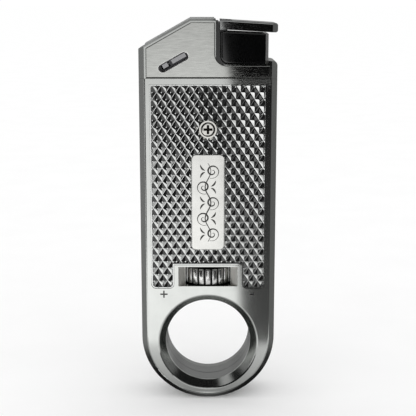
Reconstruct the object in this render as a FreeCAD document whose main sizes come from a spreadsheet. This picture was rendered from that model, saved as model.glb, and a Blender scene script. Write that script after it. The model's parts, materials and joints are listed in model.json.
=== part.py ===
import FreeCAD, Part
import math
import os
import re
import Sketcher
from FreeCAD import Placement, Rotation, Vector

# Refillable pocket lighter with a finger ring, a folding lid and a flint spark wheel.
#
# The lighter stands upright on its ring: +X is the burner side, -Y the front, +Z up.
# The origin is the middle of its footprint. All sizes are in millimetres.

doc = FreeCAD.newDocument("finger_ring_lighter")
sheet = doc.addObject("Spreadsheet::Sheet", "Sizes")

SIZES = {
    # case
    "case_half_width": 18.0,
    "case_half_depth": 7.25,
    "case_top": 88.0,
    "side_bevel": 1.5,
    "bevel_round": 0.6,
    "cover_thickness": 2.6,
    "wall": 1.6,
    "fit_gap": 0.05,
    # finger ring
    "ring_centre": 18.0,
    "hole_centre": 16.4,
    "hole_radius": 11.5,
    "hole_chamfer_depth": 2.2,
    "hole_chamfer_width": 1.85,
    "hole_edge_round": 0.2,
    "rear_hole_chamfer": 0.5,
    "liner_wall": 0.55,
    "liner_seam": 0.12,
    # grip panels
    "panel_half_width": 15.2,
    "panel_bottom": 31.7,
    "panel_top": 86.5,
    "panel_recess": 1.2,
    "panel_corner": 1.3,
    "knurl_pitch_across": 2.42,
    "knurl_pitch_along": 3.62,
    "knurl_depth": 0.7,
    "knurl_set_back": 0.1,
    "plate_half_width": 4.38,
    "plate_half_length": 12.85,
    "plate_centre": 55.3,
    "plate_corner": 1.2,
    # flame adjuster
    "wheel_centre": 34.75,
    "window_centre": 35.0,
    "wheel_radius": 7.2,
    "wheel_half_thickness": 2.15,
    "wheel_flutes": 24,
    "flute_radius": 0.5,
    "hub_radius": 2.6,
    "hub_half_length": 2.35,
    "window_half_height": 2.7,
    "window_outer_half": 8.1,
    "window_inner_half": 6.5,
    "window_funnel_depth": 1.1,
    "window_frame_half": 9.15,
    "window_frame_top": 38.25,
    "mark_offset": 11.9,
    "mark_height": 30.1,
    "plus_arm": 1.0,
    "minus_arm": 0.6,
    "mark_half_width": 0.2,
    "mark_depth": 0.2,
    "spindle_radius": 0.8,
    # fuel system
    "tank_bottom": 41.3,
    "tank_top": 70.6,
    "tank_half_width": 15.2,
    "tank_half_depth": 4.4,
    "tank_wall": 0.8,
    "bar_bottom": 72.0,
    "bar_top": 77.6,
    "roof_bottom": 84.4,
    "regulator_radius": 2.5,
    "regulator_bottom": 39.0,
    "regulator_top": 47.0,
    "fill_height": 48.0,
    "fill_radius": 1.8,
    "burner_across": 9.3,
    "valve_radius": 2.5,
    "valve_bottom": 78.0,
    "valve_top": 88.6,
    "gas_tube_radius": 0.9,
    "stem_radius": 1.0,
    # case screws
    "screw_height": 74.8,
    "screw_head_radius": 1.85,
    "screw_shank_radius": 0.85,
    "washer_radius": 2.3,
    "cross_arm": 1.2,
    "cross_half_width": 0.33,
    # head block
    "head_bottom": 88.05,
    "head_top": 103.1,
    "shoulder_low": 95.6,
    "shoulder_end": -4.6,
    "head_wall_right": 2.0,
    "ledge": 91.5,
    "nub_left": 15.7,
    "nub_top": 92.5,
    "nub_round": 1.2,
    "top_bevel": 0.4,
    "left_screw_across": -15.1,
    "right_screw_across": 13.4,
    "cavity_half_depth": 4.0,
    "cavity_floor": 88.8,
    "cavity_left": -16.8,
    "channel_right": 12.4,
    "plate_thickness": 1.0,
    "plate_side_margin": 1.95,
    "plate_top_margin": 0.8,
    "plate_gap": 0.14,
    "plate_edge": 0.2,
    "plate_foot_height": 0.35,
    "plate_foot_depth": 0.15,
    "window_corner": 3.0,
    # spark slot, measured from its middle along a line parallel to the shoulder
    "slot_across": -8.9,
    "slot_height": 92.2,
    "slot_angle": 29.0,
    "slot_half_length": 4.15,
    "slot_half_width": 0.975,
    "block_back": -3.0,
    "block_front": -1.5,
    "bar_back": -0.3,
    "bar_front": 3.65,
    "bar_low": -0.25,
    "bar_high": 0.8,
    "block_half_depth": 2.2,
    # flint train
    "flint_radius": 1.15,
    "bore_radius": 1.25,
    "flint_back": 2.5,
    "flint_front": 7.38,
    "follower_back": -3.05,
    "follower_front": -1.6,
    "bore_back": -5.0,
    "rod_radius": 0.6,
    # flint block
    "block_left": -13.4,
    "tower_left": -5.6,
    "tower_right": -2.6,
    "tower_top": 97.6,
    "lever_spring_across": -3.95,
    # spark wheel
    "spark_across": 0.6,
    "spark_height": 96.4,
    "spark_radius": 2.9,
    "spark_half_width": 1.3,
    "spark_teeth": 24,
    "ratchet_radius": 1.6,
    "axle_radius": 0.8,
    "running_gap": 0.05,
    # thumb lever
    "lever_pivot_across": -14.8,
    "lever_pivot_height": 94.0,
    "lever_pin_radius": 0.9,
    "lever_boss_radius": 1.5,
    "lever_half_depth": 3.7,
    "lever_proud": 0.35,
    "lever_thickness": 1.5,
    "lever_left": -16.4,
    "lever_right": 1.6,
    "leg_left": -6.6,
    "leg_bottom": 91.25,
    "ridge_margin": 0.9,
    # valve fork
    "fork_across": 1.6,
    "fork_height": 90.6,
    "fork_pin_radius": 0.7,
    "fork_hub_radius": 1.25,
    "fork_half_thickness": 0.5,
    # wind guard
    "guard_left": 3.05,
    "guard_right": 15.6,
    "guard_half_depth": 6.75,
    "guard_wall": 0.9,
    "guard_top_left": 100.0,
    "guard_top_right": 99.4,
    "guard_edge": 0.75,
    "guard_low_round": 2.4,
    "guard_top_round": 0.3,
    "flange_left": 2.03,
    "flange_half_depth": 6.2,
    "flange_right": 6.0,
    "flange_shelf": 98.6,
    "flange_top": 102.6,
    "flange_lip": 2.75,
    "thumb_gap_right": 2.56,
    "base_bottom": 93.2,
    "base_thickness": 1.0,
    # lid
    "hinge_across": 4.45,
    "hinge_height": 101.6,
    "hinge_pin_radius": 0.6,
    "knuckle_radius": 1.25,
    "knuckle_half_span": 4.6,
    "knuckle_gap_half": 1.6,
    "lid_knuckle_radius": 1.3,
    "lid_top_left": 102.9,
    "lid_top_right": 102.05,
    "lid_under_left": 100.5,
    "lid_under_right": 99.72,
    "lid_ceiling": 101.3,
    "lid_end_bevel": 1.4,
    "lid_rim": 0.35,
    "cheek_left": 3.12,
    "cheek_inner": 6.85,
}

for row, (alias, value) in enumerate(SIZES.items(), start=1):
    sheet.set("A%d" % row, alias.replace("_", " "))
    sheet.set("B%d" % row, str(value))
    sheet.setAlias("B%d" % row, alias)
doc.recompute()

ALIAS = re.compile(r"[a-z][a-z_]+")


def qualified(expression):
    """Write an expression of aliases the way the document refers to the sheet."""
    return ALIAS.sub(lambda word: "Sizes." + word.group() if word.group() in SIZES else word.group(),
                     str(expression))


def bind(target, prop, expression):
    """Tie one property to an expression of sheet aliases."""
    target.setExpression(prop, qualified(expression))


def size(alias):
    """Read one driving dimension from the sheet."""
    return float(sheet.get(alias))


# ---------------------------------------------------------------- sketches and features

def new_body(name):
    body = doc.addObject("PartDesign::Body", name)
    body.Label = name
    return body


def new_sketch(body, role, offset="0", at=None, turn=None):
    """A sketch on one of the body's origin planes, moved by offset along its normal.

    at is a point (across, up) in the plane for the sketch's own origin, and
    turn is the sketch's rotation about the plane's normal, in degrees.
    """
    sketch = body.newObject("Sketcher::SketchObject", "Sketch")
    plane = [feature for feature in body.Origin.OriginFeatures if feature.Role == role][0]
    sketch.AttachmentSupport = [(plane, "")]
    sketch.MapMode = "FlatFace"
    if turn is not None:
        sketch.AttachmentOffset = Placement(Vector(0, 0, 0), Rotation(Vector(0, 0, 1), 1))
        bind(sketch, "AttachmentOffset.Rotation.Angle", turn)
    if at is not None:
        bind(sketch, "AttachmentOffset.Base.x", at[0])
        bind(sketch, "AttachmentOffset.Base.y", at[1])
    bind(sketch, "AttachmentOffset.Base.z", offset)
    return sketch


def pin_point(sketch, geometry, position, x, y, rough):
    """Place one point of a sketch from its origin, by two bound distances."""
    for kind, expression, start in (("DistanceX", x, rough.x), ("DistanceY", y, rough.y)):
        index = sketch.addConstraint(Sketcher.Constraint(kind, -1, 1, geometry, position, start))
        bind(sketch, "Constraints[%d]" % index, expression)


def draw_polygon(sketch, points):
    """A closed outline of straight edges. The points start on a rough ring."""
    count = len(points)
    first = sketch.GeometryCount
    steps = [2 * math.pi * index / count for index in range(count)]
    rough = [Vector(math.cos(step), math.sin(step), 0) for step in steps]
    for index in range(count):
        sketch.addGeometry(Part.LineSegment(rough[index], rough[(index + 1) % count]), False)
    for index in range(count):
        following = first + (index + 1) % count
        sketch.addConstraint(Sketcher.Constraint("Coincident", first + index, 2, following, 1))
    for index, (x, y) in enumerate(points):
        pin_point(sketch, first + index, 1, x, y, rough[index])


def draw_rectangle(sketch, left, right, low, high):
    draw_polygon(sketch, [(left, low), (right, low), (right, high), (left, high)])


def draw_circle(sketch, x, y, radius):
    centre = Vector(0, 0, 0)
    index = sketch.addGeometry(Part.Circle(centre, Vector(0, 0, 1), 1), False)
    pin_point(sketch, index, 3, x, y, centre)
    constraint = sketch.addConstraint(Sketcher.Constraint("Radius", index, 1))
    bind(sketch, "Constraints[%d]" % constraint, radius)


def pad(body, sketch, length, backwards=False, both_ways=False):
    feature = body.newObject("PartDesign::Pad", "Pad")
    feature.Profile = sketch
    feature.Midplane = both_ways
    feature.Reversed = backwards
    bind(feature, "Length", length)
    doc.recompute()
    return feature


def pocket(body, sketch, length, forwards=False, both_ways=False):
    """Cut a sketch out of the body, and make sure that it really cut something."""
    before = body.Shape.Volume
    feature = body.newObject("PartDesign::Pocket", "Pocket")
    feature.Profile = sketch
    feature.Midplane = both_ways
    feature.Reversed = forwards
    bind(feature, "Length", length)
    doc.recompute()
    if body.Shape.Volume > before - 1e-4:
        raise RuntimeError("a pocket of %s cut nothing" % body.Label)
    return feature


def edges_where(shape, test):
    names = []
    for index, edge in enumerate(shape.Edges, start=1):
        if test(edge):
            names.append("Edge%d" % index)
    return names


def dress(body, kind, amount, test):
    """Chamfer or Fillet every edge of the body for which test is true."""
    base = body.Tip
    names = edges_where(body.Shape, test)
    if not names:
        raise RuntimeError("no edge to dress on %s" % body.Label)
    feature = body.newObject("PartDesign::" + kind, kind)
    feature.Base = (base, names)
    bind(feature, "Radius" if kind == "Fillet" else "Size", amount)
    doc.recompute()
    return feature


def near(value, target, tolerance=1e-3):
    return abs(value - target) < tolerance


def runs_along(edge, axis):
    box = edge.BoundBox
    lengths = {"x": box.XLength, "y": box.YLength, "z": box.ZLength}
    others = [lengths[name] for name in lengths if name != axis]
    return lengths[axis] > 1e-3 and max(others) < 1e-3


def on_face_plane(edge, y):
    return near(edge.BoundBox.YMin, y) and near(edge.BoundBox.YMax, y)


def centre_of(edge):
    return edge.BoundBox.Center


# ---------------------------------------------------------------- small round pieces

def cylinder(name, radius, length, base, axis):
    """A Part::Cylinder from base (three expressions) along x, y or z."""
    piece = doc.addObject("Part::Cylinder", name)
    piece.Label = name
    turns = {"x": Rotation(Vector(0, 1, 0), 90), "y": Rotation(Vector(1, 0, 0), -90), "z": Rotation()}
    piece.Placement = Placement(Vector(0, 0, 0), turns[axis])
    bind(piece, "Radius", radius)
    bind(piece, "Height", length)
    for coordinate, expression in zip("xyz", base):
        bind(piece, "Placement.Base." + coordinate, expression)
    return piece


def along_slot(piece, distance):
    """Lay a round piece on the flint's axis, starting at a distance from the slot's middle."""
    piece.Placement = Placement(Vector(0, 0, 0), Rotation(Vector(0, 1, 0), 90 - size("slot_angle")))
    bind(piece, "Placement.Rotation.Angle", "90 - slot_angle")
    bind(piece, "Placement.Base.x", "slot_across + (%s) * cos(slot_angle)" % distance)
    bind(piece, "Placement.Base.z", "slot_height + (%s) * sin(slot_angle)" % distance)


def cut(name, base, tool):
    piece = doc.addObject("Part::Cut", name)
    piece.Label = name
    piece.Base = base
    piece.Tool = tool
    return piece


def group(name, pieces):
    compound = doc.addObject("Part::Compound", name)
    compound.Label = name
    compound.Links = pieces
    return compound


def seal_ring(name, ring_radius, wire_radius, base, turned):
    ring = doc.addObject("Part::Torus", name)
    ring.Label = name
    ring.Placement = Placement(Vector(0, 0, 0), Rotation(Vector(0, 1, 0), 90 if turned else 0))
    bind(ring, "Radius1", ring_radius)
    bind(ring, "Radius2", wire_radius)
    for coordinate, expression in zip("xyz", base):
        bind(ring, "Placement.Base." + coordinate, expression)
    return ring


def coil_spring(name, coil_radius, wire_radius, height, turns):
    """A round-wire coil that starts one wire radius above its own origin."""
    spine = doc.addObject("Part::Helix", name + "_spine")
    profile = doc.addObject("Part::Circle", name + "_wire")
    profile.Placement = Placement(Vector(0, 0, 0), Rotation(Vector(1, 0, 0), 90))
    bind(profile, "Radius", wire_radius)
    bind(profile, "Placement.Base.x", coil_radius)
    bind(spine, "Radius", coil_radius)
    bind(spine, "Height", "%s - 2 * (%s)" % (height, wire_radius))
    bind(spine, "Pitch", "(%s - 2 * (%s)) / %s" % (height, wire_radius, turns))
    doc.recompute()
    coil = doc.addObject("Part::Sweep", name)
    coil.Label = name
    coil.Sections = [profile]
    coil.Spine = (spine, ["Edge1"])
    coil.Solid = True
    coil.Frenet = True
    doc.recompute()
    return coil


# ---------------------------------------------------------------- case

def build_case_frame():
    """The middle band of the case: outer walls, finger ring, cross bar and roof."""
    body = new_body("case_frame")
    depth = "2 * (case_half_depth - cover_thickness)"
    outline = new_sketch(body, "XZ_Plane")
    draw_rectangle(outline, "-case_half_width", "case_half_width", "ring_centre", "case_top")
    pad(body, outline, depth, both_ways=True)
    ring = new_sketch(body, "XZ_Plane")
    draw_circle(ring, "0", "ring_centre", "case_half_width")
    pad(body, ring, depth, both_ways=True)
    hole = new_sketch(body, "XZ_Plane")
    draw_circle(hole, "0", "hole_centre", "hole_radius + liner_wall")
    pocket(body, hole, depth, both_ways=True)
    inner = "case_half_width - wall"
    for low, high in (("tank_bottom - 0.4", "bar_bottom"), ("bar_top", "roof_bottom")):
        bay = new_sketch(body, "XZ_Plane")
        draw_rectangle(bay, "-(%s)" % inner, inner, low, high)
        pocket(body, bay, depth, both_ways=True)
    wheel_bay = new_sketch(body, "XY_Plane", "window_centre")
    draw_circle(wheel_bay, "0", "0", "wheel_radius + 0.5")
    pocket(body, wheel_bay, "2 * window_half_height", both_ways=True)
    upright_holes = (
        # across, radius, from, to
        ("0", "spindle_radius + fit_gap", "29.6", "wheel_centre"),
        ("0", "spindle_radius + 0.3", "wheel_centre", "regulator_bottom"),
        ("0", "regulator_radius + fit_gap", "regulator_bottom - 0.1", "tank_bottom"),
        ("burner_across", "gas_tube_radius + 0.3", "bar_bottom - 0.1", "bar_top + 0.1"),
        ("burner_across", "valve_radius + fit_gap", "roof_bottom - 0.1", "case_top + 0.1"),
        ("left_screw_across", "0.8", "roof_bottom - 0.1", "case_top + 0.1"),
        ("right_screw_across", "0.8", "roof_bottom - 0.1", "case_top + 0.1"),
    )
    for across, radius, low, high in upright_holes:
        drill = new_sketch(body, "XY_Plane", low)
        draw_circle(drill, across, "0", radius)
        pocket(body, drill, "%s - (%s)" % (high, low), forwards=True)
    screw_hole = new_sketch(body, "XZ_Plane")
    draw_circle(screw_hole, "0", "screw_height", "screw_shank_radius")
    pocket(body, screw_hole, depth, both_ways=True)
    fill_hole = new_sketch(body, "YZ_Plane", "-case_half_width")
    draw_circle(fill_hole, "0", "fill_height", "fill_radius + 0.1")
    pocket(body, fill_hole, "wall + 0.2", forwards=True)
    return body


def panel_outline(grow):
    """Outline of a grip panel: a tall rectangle, notched round the adjuster window."""
    side = "panel_half_width + %s" % grow
    low = "panel_bottom - %s" % grow
    high = "panel_top + %s" % grow
    notch = "window_frame_half - %s" % grow
    notch_top = "window_frame_top - %s" % grow
    return [("-(%s)" % side, low), ("-(%s)" % notch, low), ("-(%s)" % notch, notch_top),
            (notch, notch_top), (notch, low), (side, low), (side, high), ("-(%s)" % side, high)]


def build_cover(name, front):
    """A cover plate of the case: outline, bevels, ring hole, panel recess and window."""
    body = new_body(name)
    face = "case_half_depth" if front else "-case_half_depth"
    face_y = -size("case_half_depth") if front else size("case_half_depth")
    half_width = size("case_half_width")
    ring_centre = size("ring_centre")
    outline = new_sketch(body, "XZ_Plane", face)
    draw_rectangle(outline, "-case_half_width", "case_half_width", "ring_centre", "case_top")
    pad(body, outline, "cover_thickness", backwards=front)
    ring = new_sketch(body, "XZ_Plane", face)
    draw_circle(ring, "0", "ring_centre", "case_half_width")
    pad(body, ring, "cover_thickness", backwards=front)

    def is_rim(edge):
        top_edge = near(centre_of(edge).z, size("case_top"))
        return on_face_plane(edge, face_y) and not top_edge

    dress(body, "Chamfer", "side_bevel", is_rim)

    def is_bevel_corner(edge):
        middle = edge.valueAt((edge.FirstParameter + edge.LastParameter) / 2)
        inset = half_width - size("side_bevel")
        beside = near(abs(middle.x), inset) and middle.z > ring_centre
        around = middle.z <= ring_centre + 1 and near(math.hypot(middle.x, middle.z - ring_centre), inset)
        return on_face_plane(edge, face_y) and (beside or around)

    dress(body, "Fillet", "bevel_round", is_bevel_corner)
    hole = new_sketch(body, "XZ_Plane", face)
    draw_circle(hole, "0", "hole_centre", "hole_radius")
    pocket(body, hole, "cover_thickness", forwards=not front)

    def is_hole_rim(edge):
        radius = getattr(edge.Curve, "Radius", 0)
        return on_face_plane(edge, face_y) and near(radius, size("hole_radius"))

    if front:
        bevel = dress(body, "Chamfer", "hole_chamfer_width", is_hole_rim)
        bevel.ChamferType = "Two distances"
        bind(bevel, "Size2", "hole_chamfer_depth")
        doc.recompute()
        chamfer_end = -size("case_half_depth") + size("hole_chamfer_depth")
        dress(body, "Fillet", "hole_edge_round", lambda edge: on_face_plane(edge, chamfer_end)
              and near(getattr(edge.Curve, "Radius", 0), size("hole_radius")))
    else:
        dress(body, "Chamfer", "rear_hole_chamfer", is_hole_rim)

    def is_chamfer_rim(edge):
        radius = getattr(edge.Curve, "Radius", 0)
        return on_face_plane(edge, face_y) and radius > size("hole_radius") + 0.3 \
            and near(edge.Curve.Center.z if radius else 0, size("hole_centre"))

    dress(body, "Fillet", "bevel_round", is_chamfer_rim)
    recess = new_sketch(body, "XZ_Plane", face)
    draw_polygon(recess, panel_outline("fit_gap"))
    pocket(body, recess, "panel_recess", forwards=not front)

    def is_recess_corner(edge):
        middle = centre_of(edge)
        low_corner = near(middle.z, size("panel_bottom") - size("fit_gap"))
        wide = abs(middle.x) > size("panel_half_width") - 1
        return runs_along(edge, "y") and low_corner and (wide or abs(middle.x) > 9)

    dress(body, "Fillet", "panel_corner", is_recess_corner)
    window = new_sketch(body, "XY_Plane", "window_centre")
    sign = "-" if front else ""
    outer_y = sign + "(case_half_depth + 0.1)"
    throat_y = sign + "(case_half_depth - window_funnel_depth)"
    inner_y = sign + "(case_half_depth - cover_thickness - 0.1)"
    draw_polygon(window, [("-window_outer_half", outer_y), ("window_outer_half", outer_y),
                          ("window_inner_half", throat_y), ("window_inner_half", inner_y),
                          ("-window_inner_half", inner_y), ("-window_inner_half", throat_y)])
    pocket(body, window, "2 * window_half_height", both_ways=True)
    screw_hole = new_sketch(body, "XZ_Plane", face)
    draw_circle(screw_hole, "0", "screw_height", "screw_shank_radius + 0.1")
    pocket(body, screw_hole, "cover_thickness", forwards=not front)
    marks = new_sketch(body, "XZ_Plane", face)
    draw_cross(marks, "-mark_offset", "mark_height", "plus_arm", "mark_half_width")
    draw_rectangle(marks, "mark_offset - minus_arm", "mark_offset + minus_arm",
                   "mark_height - mark_half_width", "mark_height + mark_half_width")
    pocket(body, marks, "mark_depth", forwards=not front)
    return body


def draw_cross(sketch, x, y, arm, half):
    """A plus sign: twelve corners round one centre."""
    corners = [(1, 2), (1, 1), (2, 1), (2, -1), (1, -1), (1, -2), (-1, -2), (-1, -1), (-2, -1), (-2, 1),
               (-1, 1), (-1, 2)]
    reach = {1: half, 2: arm}
    points = []
    for across, up in corners:
        x_step = "(%s)" % reach[abs(across)]
        y_step = "(%s)" % reach[abs(up)]
        points.append(("%s %s %s" % (x, "+" if across > 0 else "-", x_step),
                       "%s %s %s" % (y, "+" if up > 0 else "-", y_step)))
    draw_polygon(sketch, points)


def build_ring_liners():
    """Two polished bushes pressed into the finger ring, meeting in the middle."""
    halves = []
    length = "case_half_depth - cover_thickness - fit_gap"
    for side, start in (("front", "-(%s)" % length), ("rear", "liner_seam")):
        base = ("0", start, "hole_centre")
        outer = cylinder(side + "_liner_outer", "hole_radius + liner_wall", length + " - liner_seam", base, "y")
        inner = cylinder(side + "_liner_bore", "hole_radius", length + " - liner_seam", base, "y")
        halves.append(cut(side + "_liner", outer, inner))
    return group("ring_liners", halves)


def build_grip_panel(name, front):
    """A knurled plate: two families of V grooves leave rows of diamond pyramids."""
    half_width = size("panel_half_width")
    low = size("panel_bottom")
    high = size("panel_top")
    back = size("case_half_depth") - size("panel_recess")
    peak = size("case_half_depth") - size("knurl_set_back")
    notch = size("window_frame_half")
    notch_top = size("window_frame_top")

    def at(x, z, y):
        return Vector(x, -y if front else y, z)

    corners = [(-half_width, low), (-notch, low), (-notch, notch_top), (notch, notch_top), (notch, low),
               (half_width, low), (half_width, high), (-half_width, high)]
    points = [at(x, z, back) for x, z in corners]
    blank = Part.Face(Part.makePolygon(points + points[:1])).extrude(at(0, 0, peak - back))
    lower = [edge for edge in blank.Edges
             if runs_along(edge, "y") and near(edge.BoundBox.ZMin, low)]
    blank = blank.makeFillet(size("panel_corner"), lower)

    across = size("knurl_pitch_across")
    along = size("knurl_pitch_along")
    depth = size("knurl_depth")
    spacing = 1 / math.hypot(1 / across, 1 / along)
    lift = 0.2
    half_groove = 0.47 * spacing * (depth + lift) / depth
    middle = (low + high) / 2
    reach = half_width + high - low
    count = int(half_width / across + (high - low) / 2 / along) + 2
    for slant in (1, -1):
        normal = Vector(1 / across, 0, slant / along).normalize()
        along_groove = Vector(normal.z, 0, -normal.x)
        grooves = []
        for index in range(-count, count):
            centre = normal * ((index + 0.5) * spacing) + Vector(0, 0, middle) - along_groove * reach
            section = [centre + normal * half_groove + at(0, 0, peak + lift),
                       centre - normal * half_groove + at(0, 0, peak + lift),
                       centre + at(0, 0, peak - depth)]
            face = Part.Face(Part.makePolygon(section + section[:1]))
            grooves.append(face.extrude(along_groove * 2 * reach))
        blank = blank.cut(grooves)

    washer = size("washer_radius") + 0.02
    hole = Part.makeCylinder(washer, peak - back + 1, at(0, size("screw_height"), back - 0.5), at(0, 0, 1))
    blank = blank.cut(hole)
    if front:
        gap = size("fit_gap")
        plate_half_width = size("plate_half_width") + gap
        plate_half_length = size("plate_half_length") + gap
        seat = Part.makeBox(2 * plate_half_width, peak - back + 1, 2 * plate_half_length,
                            Vector(-plate_half_width, -peak - 0.5, size("plate_centre") - plate_half_length))
        upright = [edge for edge in seat.Edges if runs_along(edge, "y")]
        blank = blank.cut(seat.makeFillet(size("plate_corner"), upright))
    panel = doc.addObject("Part::Feature", name)
    panel.Label = name
    panel.Shape = blank.Solids[0] if len(blank.Solids) == 1 else blank
    panel.Placement = Placement()
    return panel


def build_nameplate():
    """A blank plate with rounded corners, let into the front grip panel."""
    body = new_body("nameplate")
    outline = new_sketch(body, "XZ_Plane", "case_half_depth")
    draw_rectangle(outline, "-plate_half_width", "plate_half_width",
                   "plate_centre - plate_half_length", "plate_centre + plate_half_length")
    pad(body, outline, "panel_recess", backwards=True)
    dress(body, "Fillet", "plate_corner", lambda edge: runs_along(edge, "y"))
    face_y = -size("case_half_depth")
    dress(body, "Fillet", "0.12", lambda edge: on_face_plane(edge, face_y))
    return body


def build_case_screw(name, front):
    """A cross-head screw that holds a grip panel and cover on the cross bar."""
    body = new_body(name)
    face = "case_half_depth" if front else "-case_half_depth"
    face_y = -size("case_half_depth") if front else size("case_half_depth")
    head = new_sketch(body, "XZ_Plane", face)
    draw_circle(head, "0", "screw_height", "screw_head_radius")
    pad(body, head, "panel_recess - 0.02", backwards=front)
    shank = new_sketch(body, "XZ_Plane", face)
    draw_circle(shank, "0", "screw_height", "screw_shank_radius - 0.02")
    pad(body, shank, "panel_recess + 4.4", backwards=front)
    dress(body, "Fillet", "0.45", lambda edge: on_face_plane(edge, face_y))
    cross = new_sketch(body, "XZ_Plane", face)
    draw_cross(cross, "0", "screw_height", "cross_arm", "cross_half_width")
    pocket(body, cross, "0.75", forwards=not front)
    return body


def build_screw_washers():
    """Finishing rings round the two case screws."""
    rings = []
    for side, start in (("front", "-case_half_depth"), ("rear", "case_half_depth - panel_recess")):
        base = ("0", start, "screw_height")
        outer = cylinder(side + "_washer_outer", "washer_radius", "panel_recess", base, "y")
        inner = cylinder(side + "_washer_bore", "screw_head_radius + 0.02", "panel_recess", base, "y")
        rings.append(cut(side + "_washer", outer, inner))
    return group("screw_washers", rings)


# ---------------------------------------------------------------- fuel system and flame adjuster

def build_gas_tank():
    """The fuel tank, open at the top until its cap is welded on."""
    body = new_body("gas_tank")
    outline = new_sketch(body, "XY_Plane", "tank_bottom")
    draw_rectangle(outline, "-tank_half_width", "tank_half_width", "-tank_half_depth", "tank_half_depth")
    pad(body, outline, "tank_top - tank_bottom")
    dress(body, "Fillet", "1.2", lambda edge: runs_along(edge, "z"))
    hollow = new_sketch(body, "XY_Plane", "tank_top")
    side = "tank_half_width - tank_wall"
    deep = "tank_half_depth - tank_wall"
    draw_rectangle(hollow, "-(%s)" % side, side, "-(%s)" % deep, deep)
    pocket(body, hollow, "tank_top - tank_bottom - 1")
    floor_hole = new_sketch(body, "XY_Plane", "tank_bottom")
    draw_circle(floor_hole, "0", "0", "regulator_radius + fit_gap")
    pocket(body, floor_hole, "1.2", forwards=True)
    fill_hole = new_sketch(body, "YZ_Plane", "-tank_half_width")
    draw_circle(fill_hole, "0", "fill_height", "fill_radius + 0.02")
    pocket(body, fill_hole, "tank_wall + 0.2", forwards=True)
    return body


def build_tank_cap():
    body = new_body("tank_cap")
    outline = new_sketch(body, "XY_Plane", "tank_top")
    draw_rectangle(outline, "-tank_half_width", "tank_half_width", "-tank_half_depth", "tank_half_depth")
    pad(body, outline, "1.2")
    dress(body, "Fillet", "1.2", lambda edge: runs_along(edge, "z"))
    hole = new_sketch(body, "XY_Plane", "tank_top")
    draw_circle(hole, "burner_across", "0", "gas_tube_radius + 0.02")
    pocket(body, hole, "1.4", forwards=True)
    return body


def build_regulator_valve():
    """The brass valve in the tank's floor that the adjuster spindle opens and closes."""
    body = new_body("regulator_valve")
    barrel = new_sketch(body, "XY_Plane", "regulator_bottom")
    draw_circle(barrel, "0", "0", "regulator_radius")
    pad(body, barrel, "regulator_top - regulator_bottom")
    bore = new_sketch(body, "XY_Plane", "regulator_bottom")
    draw_circle(bore, "0", "0", "spindle_radius + running_gap")
    pocket(body, bore, "5", forwards=True)
    outlet = new_sketch(body, "XY_Plane", "regulator_top")
    draw_circle(outlet, "0", "0", "gas_tube_radius + 0.02")
    pocket(body, outlet, "1.2")
    return body


def build_gas_tube():
    """A bent tube from the regulator through the tank and the cross bar to the burner valve."""
    radius = size("gas_tube_radius")
    start = size("regulator_top") - 1
    across = size("burner_across")
    low_bend = start + 6
    high_bend = low_bend + 12
    end = size("valve_bottom") + 0.9
    slant = Vector(across, 0, high_bend - low_bend)
    turn = math.atan2(slant.x, slant.z)
    bend_radius = 4.0
    trim = bend_radius * math.tan(turn / 2)
    unit = Vector(slant).normalize()
    up = Vector(0, 0, 1)
    low_corner = Vector(0, 0, low_bend)
    high_corner = Vector(across, 0, high_bend)
    inner_side = (unit - up).normalize()
    reach = bend_radius / math.cos(turn / 2) - bend_radius

    def arc(corner, before, after, towards):
        return Part.Arc(corner - before * trim, corner + towards * reach, corner + after * trim).toShape()

    path = Part.Wire([
        Part.LineSegment(Vector(0, 0, start), low_corner - up * trim).toShape(),
        arc(low_corner, up, unit, inner_side),
        Part.LineSegment(low_corner + unit * trim, high_corner - unit * trim).toShape(),
        arc(high_corner, unit, up, inner_side * -1),
        Part.LineSegment(high_corner + up * trim, Vector(across, 0, end)).toShape(),
    ])

    def swept(section_radius):
        ring = Part.Wire(Part.makeCircle(section_radius, Vector(0, 0, start), up))
        return path.makePipeShell([ring], True, True)

    tube = doc.addObject("Part::Feature", "gas_tube")
    tube.Label = "gas_tube"
    tube.Shape = swept(radius).cut(swept(radius / 2))
    tube.Placement = Placement()
    return tube


def build_valve_body():
    """The burner valve that stands in the roof of the case."""
    body = new_body("valve_body")
    barrel = new_sketch(body, "XY_Plane", "valve_bottom")
    draw_circle(barrel, "burner_across", "0", "valve_radius")
    pad(body, barrel, "valve_top - valve_bottom")
    bore = new_sketch(body, "XY_Plane", "valve_top")
    draw_circle(bore, "burner_across", "0", "stem_radius + running_gap")
    pocket(body, bore, "valve_top - valve_bottom - 2")
    inlet = new_sketch(body, "XY_Plane", "valve_bottom")
    draw_circle(inlet, "burner_across", "0", "gas_tube_radius + 0.02")
    pocket(body, inlet, "1", forwards=True)
    return body


def build_burner_nozzle():
    """The jet that the fork lifts to open the gas: stem, collar and tip."""
    body = new_body("burner_nozzle")
    steps = (
        # radius, from, to
        ("stem_radius", "80.4", "91.3"),
        ("1.9", "91.25", "91.85"),
        ("1.15", "91.8", "96.4"),
        ("0.7", "96.3", "97.2"),
    )
    for radius, low, high in steps:
        step = new_sketch(body, "XY_Plane", low)
        draw_circle(step, "burner_across", "0", radius)
        pad(body, step, "%s - %s" % (high, low))
    jet = new_sketch(body, "XY_Plane", "97.2")
    draw_circle(jet, "burner_across", "0", "0.3")
    pocket(body, jet, "3")
    return body


def build_fill_valve():
    """The refill valve in the narrow side of the case, with its flange behind the wall."""
    body = new_body("fill_valve")
    outer_end = "-case_half_width + 0.8"
    barrel = new_sketch(body, "YZ_Plane", outer_end)
    draw_circle(barrel, "0", "fill_height", "fill_radius")
    pad(body, barrel, "7.6")
    flange = new_sketch(body, "YZ_Plane", "-case_half_width + wall + 0.1")
    draw_circle(flange, "0", "fill_height", "fill_radius + 0.6")
    pad(body, flange, "0.5")
    mouth = new_sketch(body, "YZ_Plane", outer_end)
    draw_circle(mouth, "0", "fill_height", "0.7")
    pocket(body, mouth, "3", forwards=True)
    return body


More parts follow.
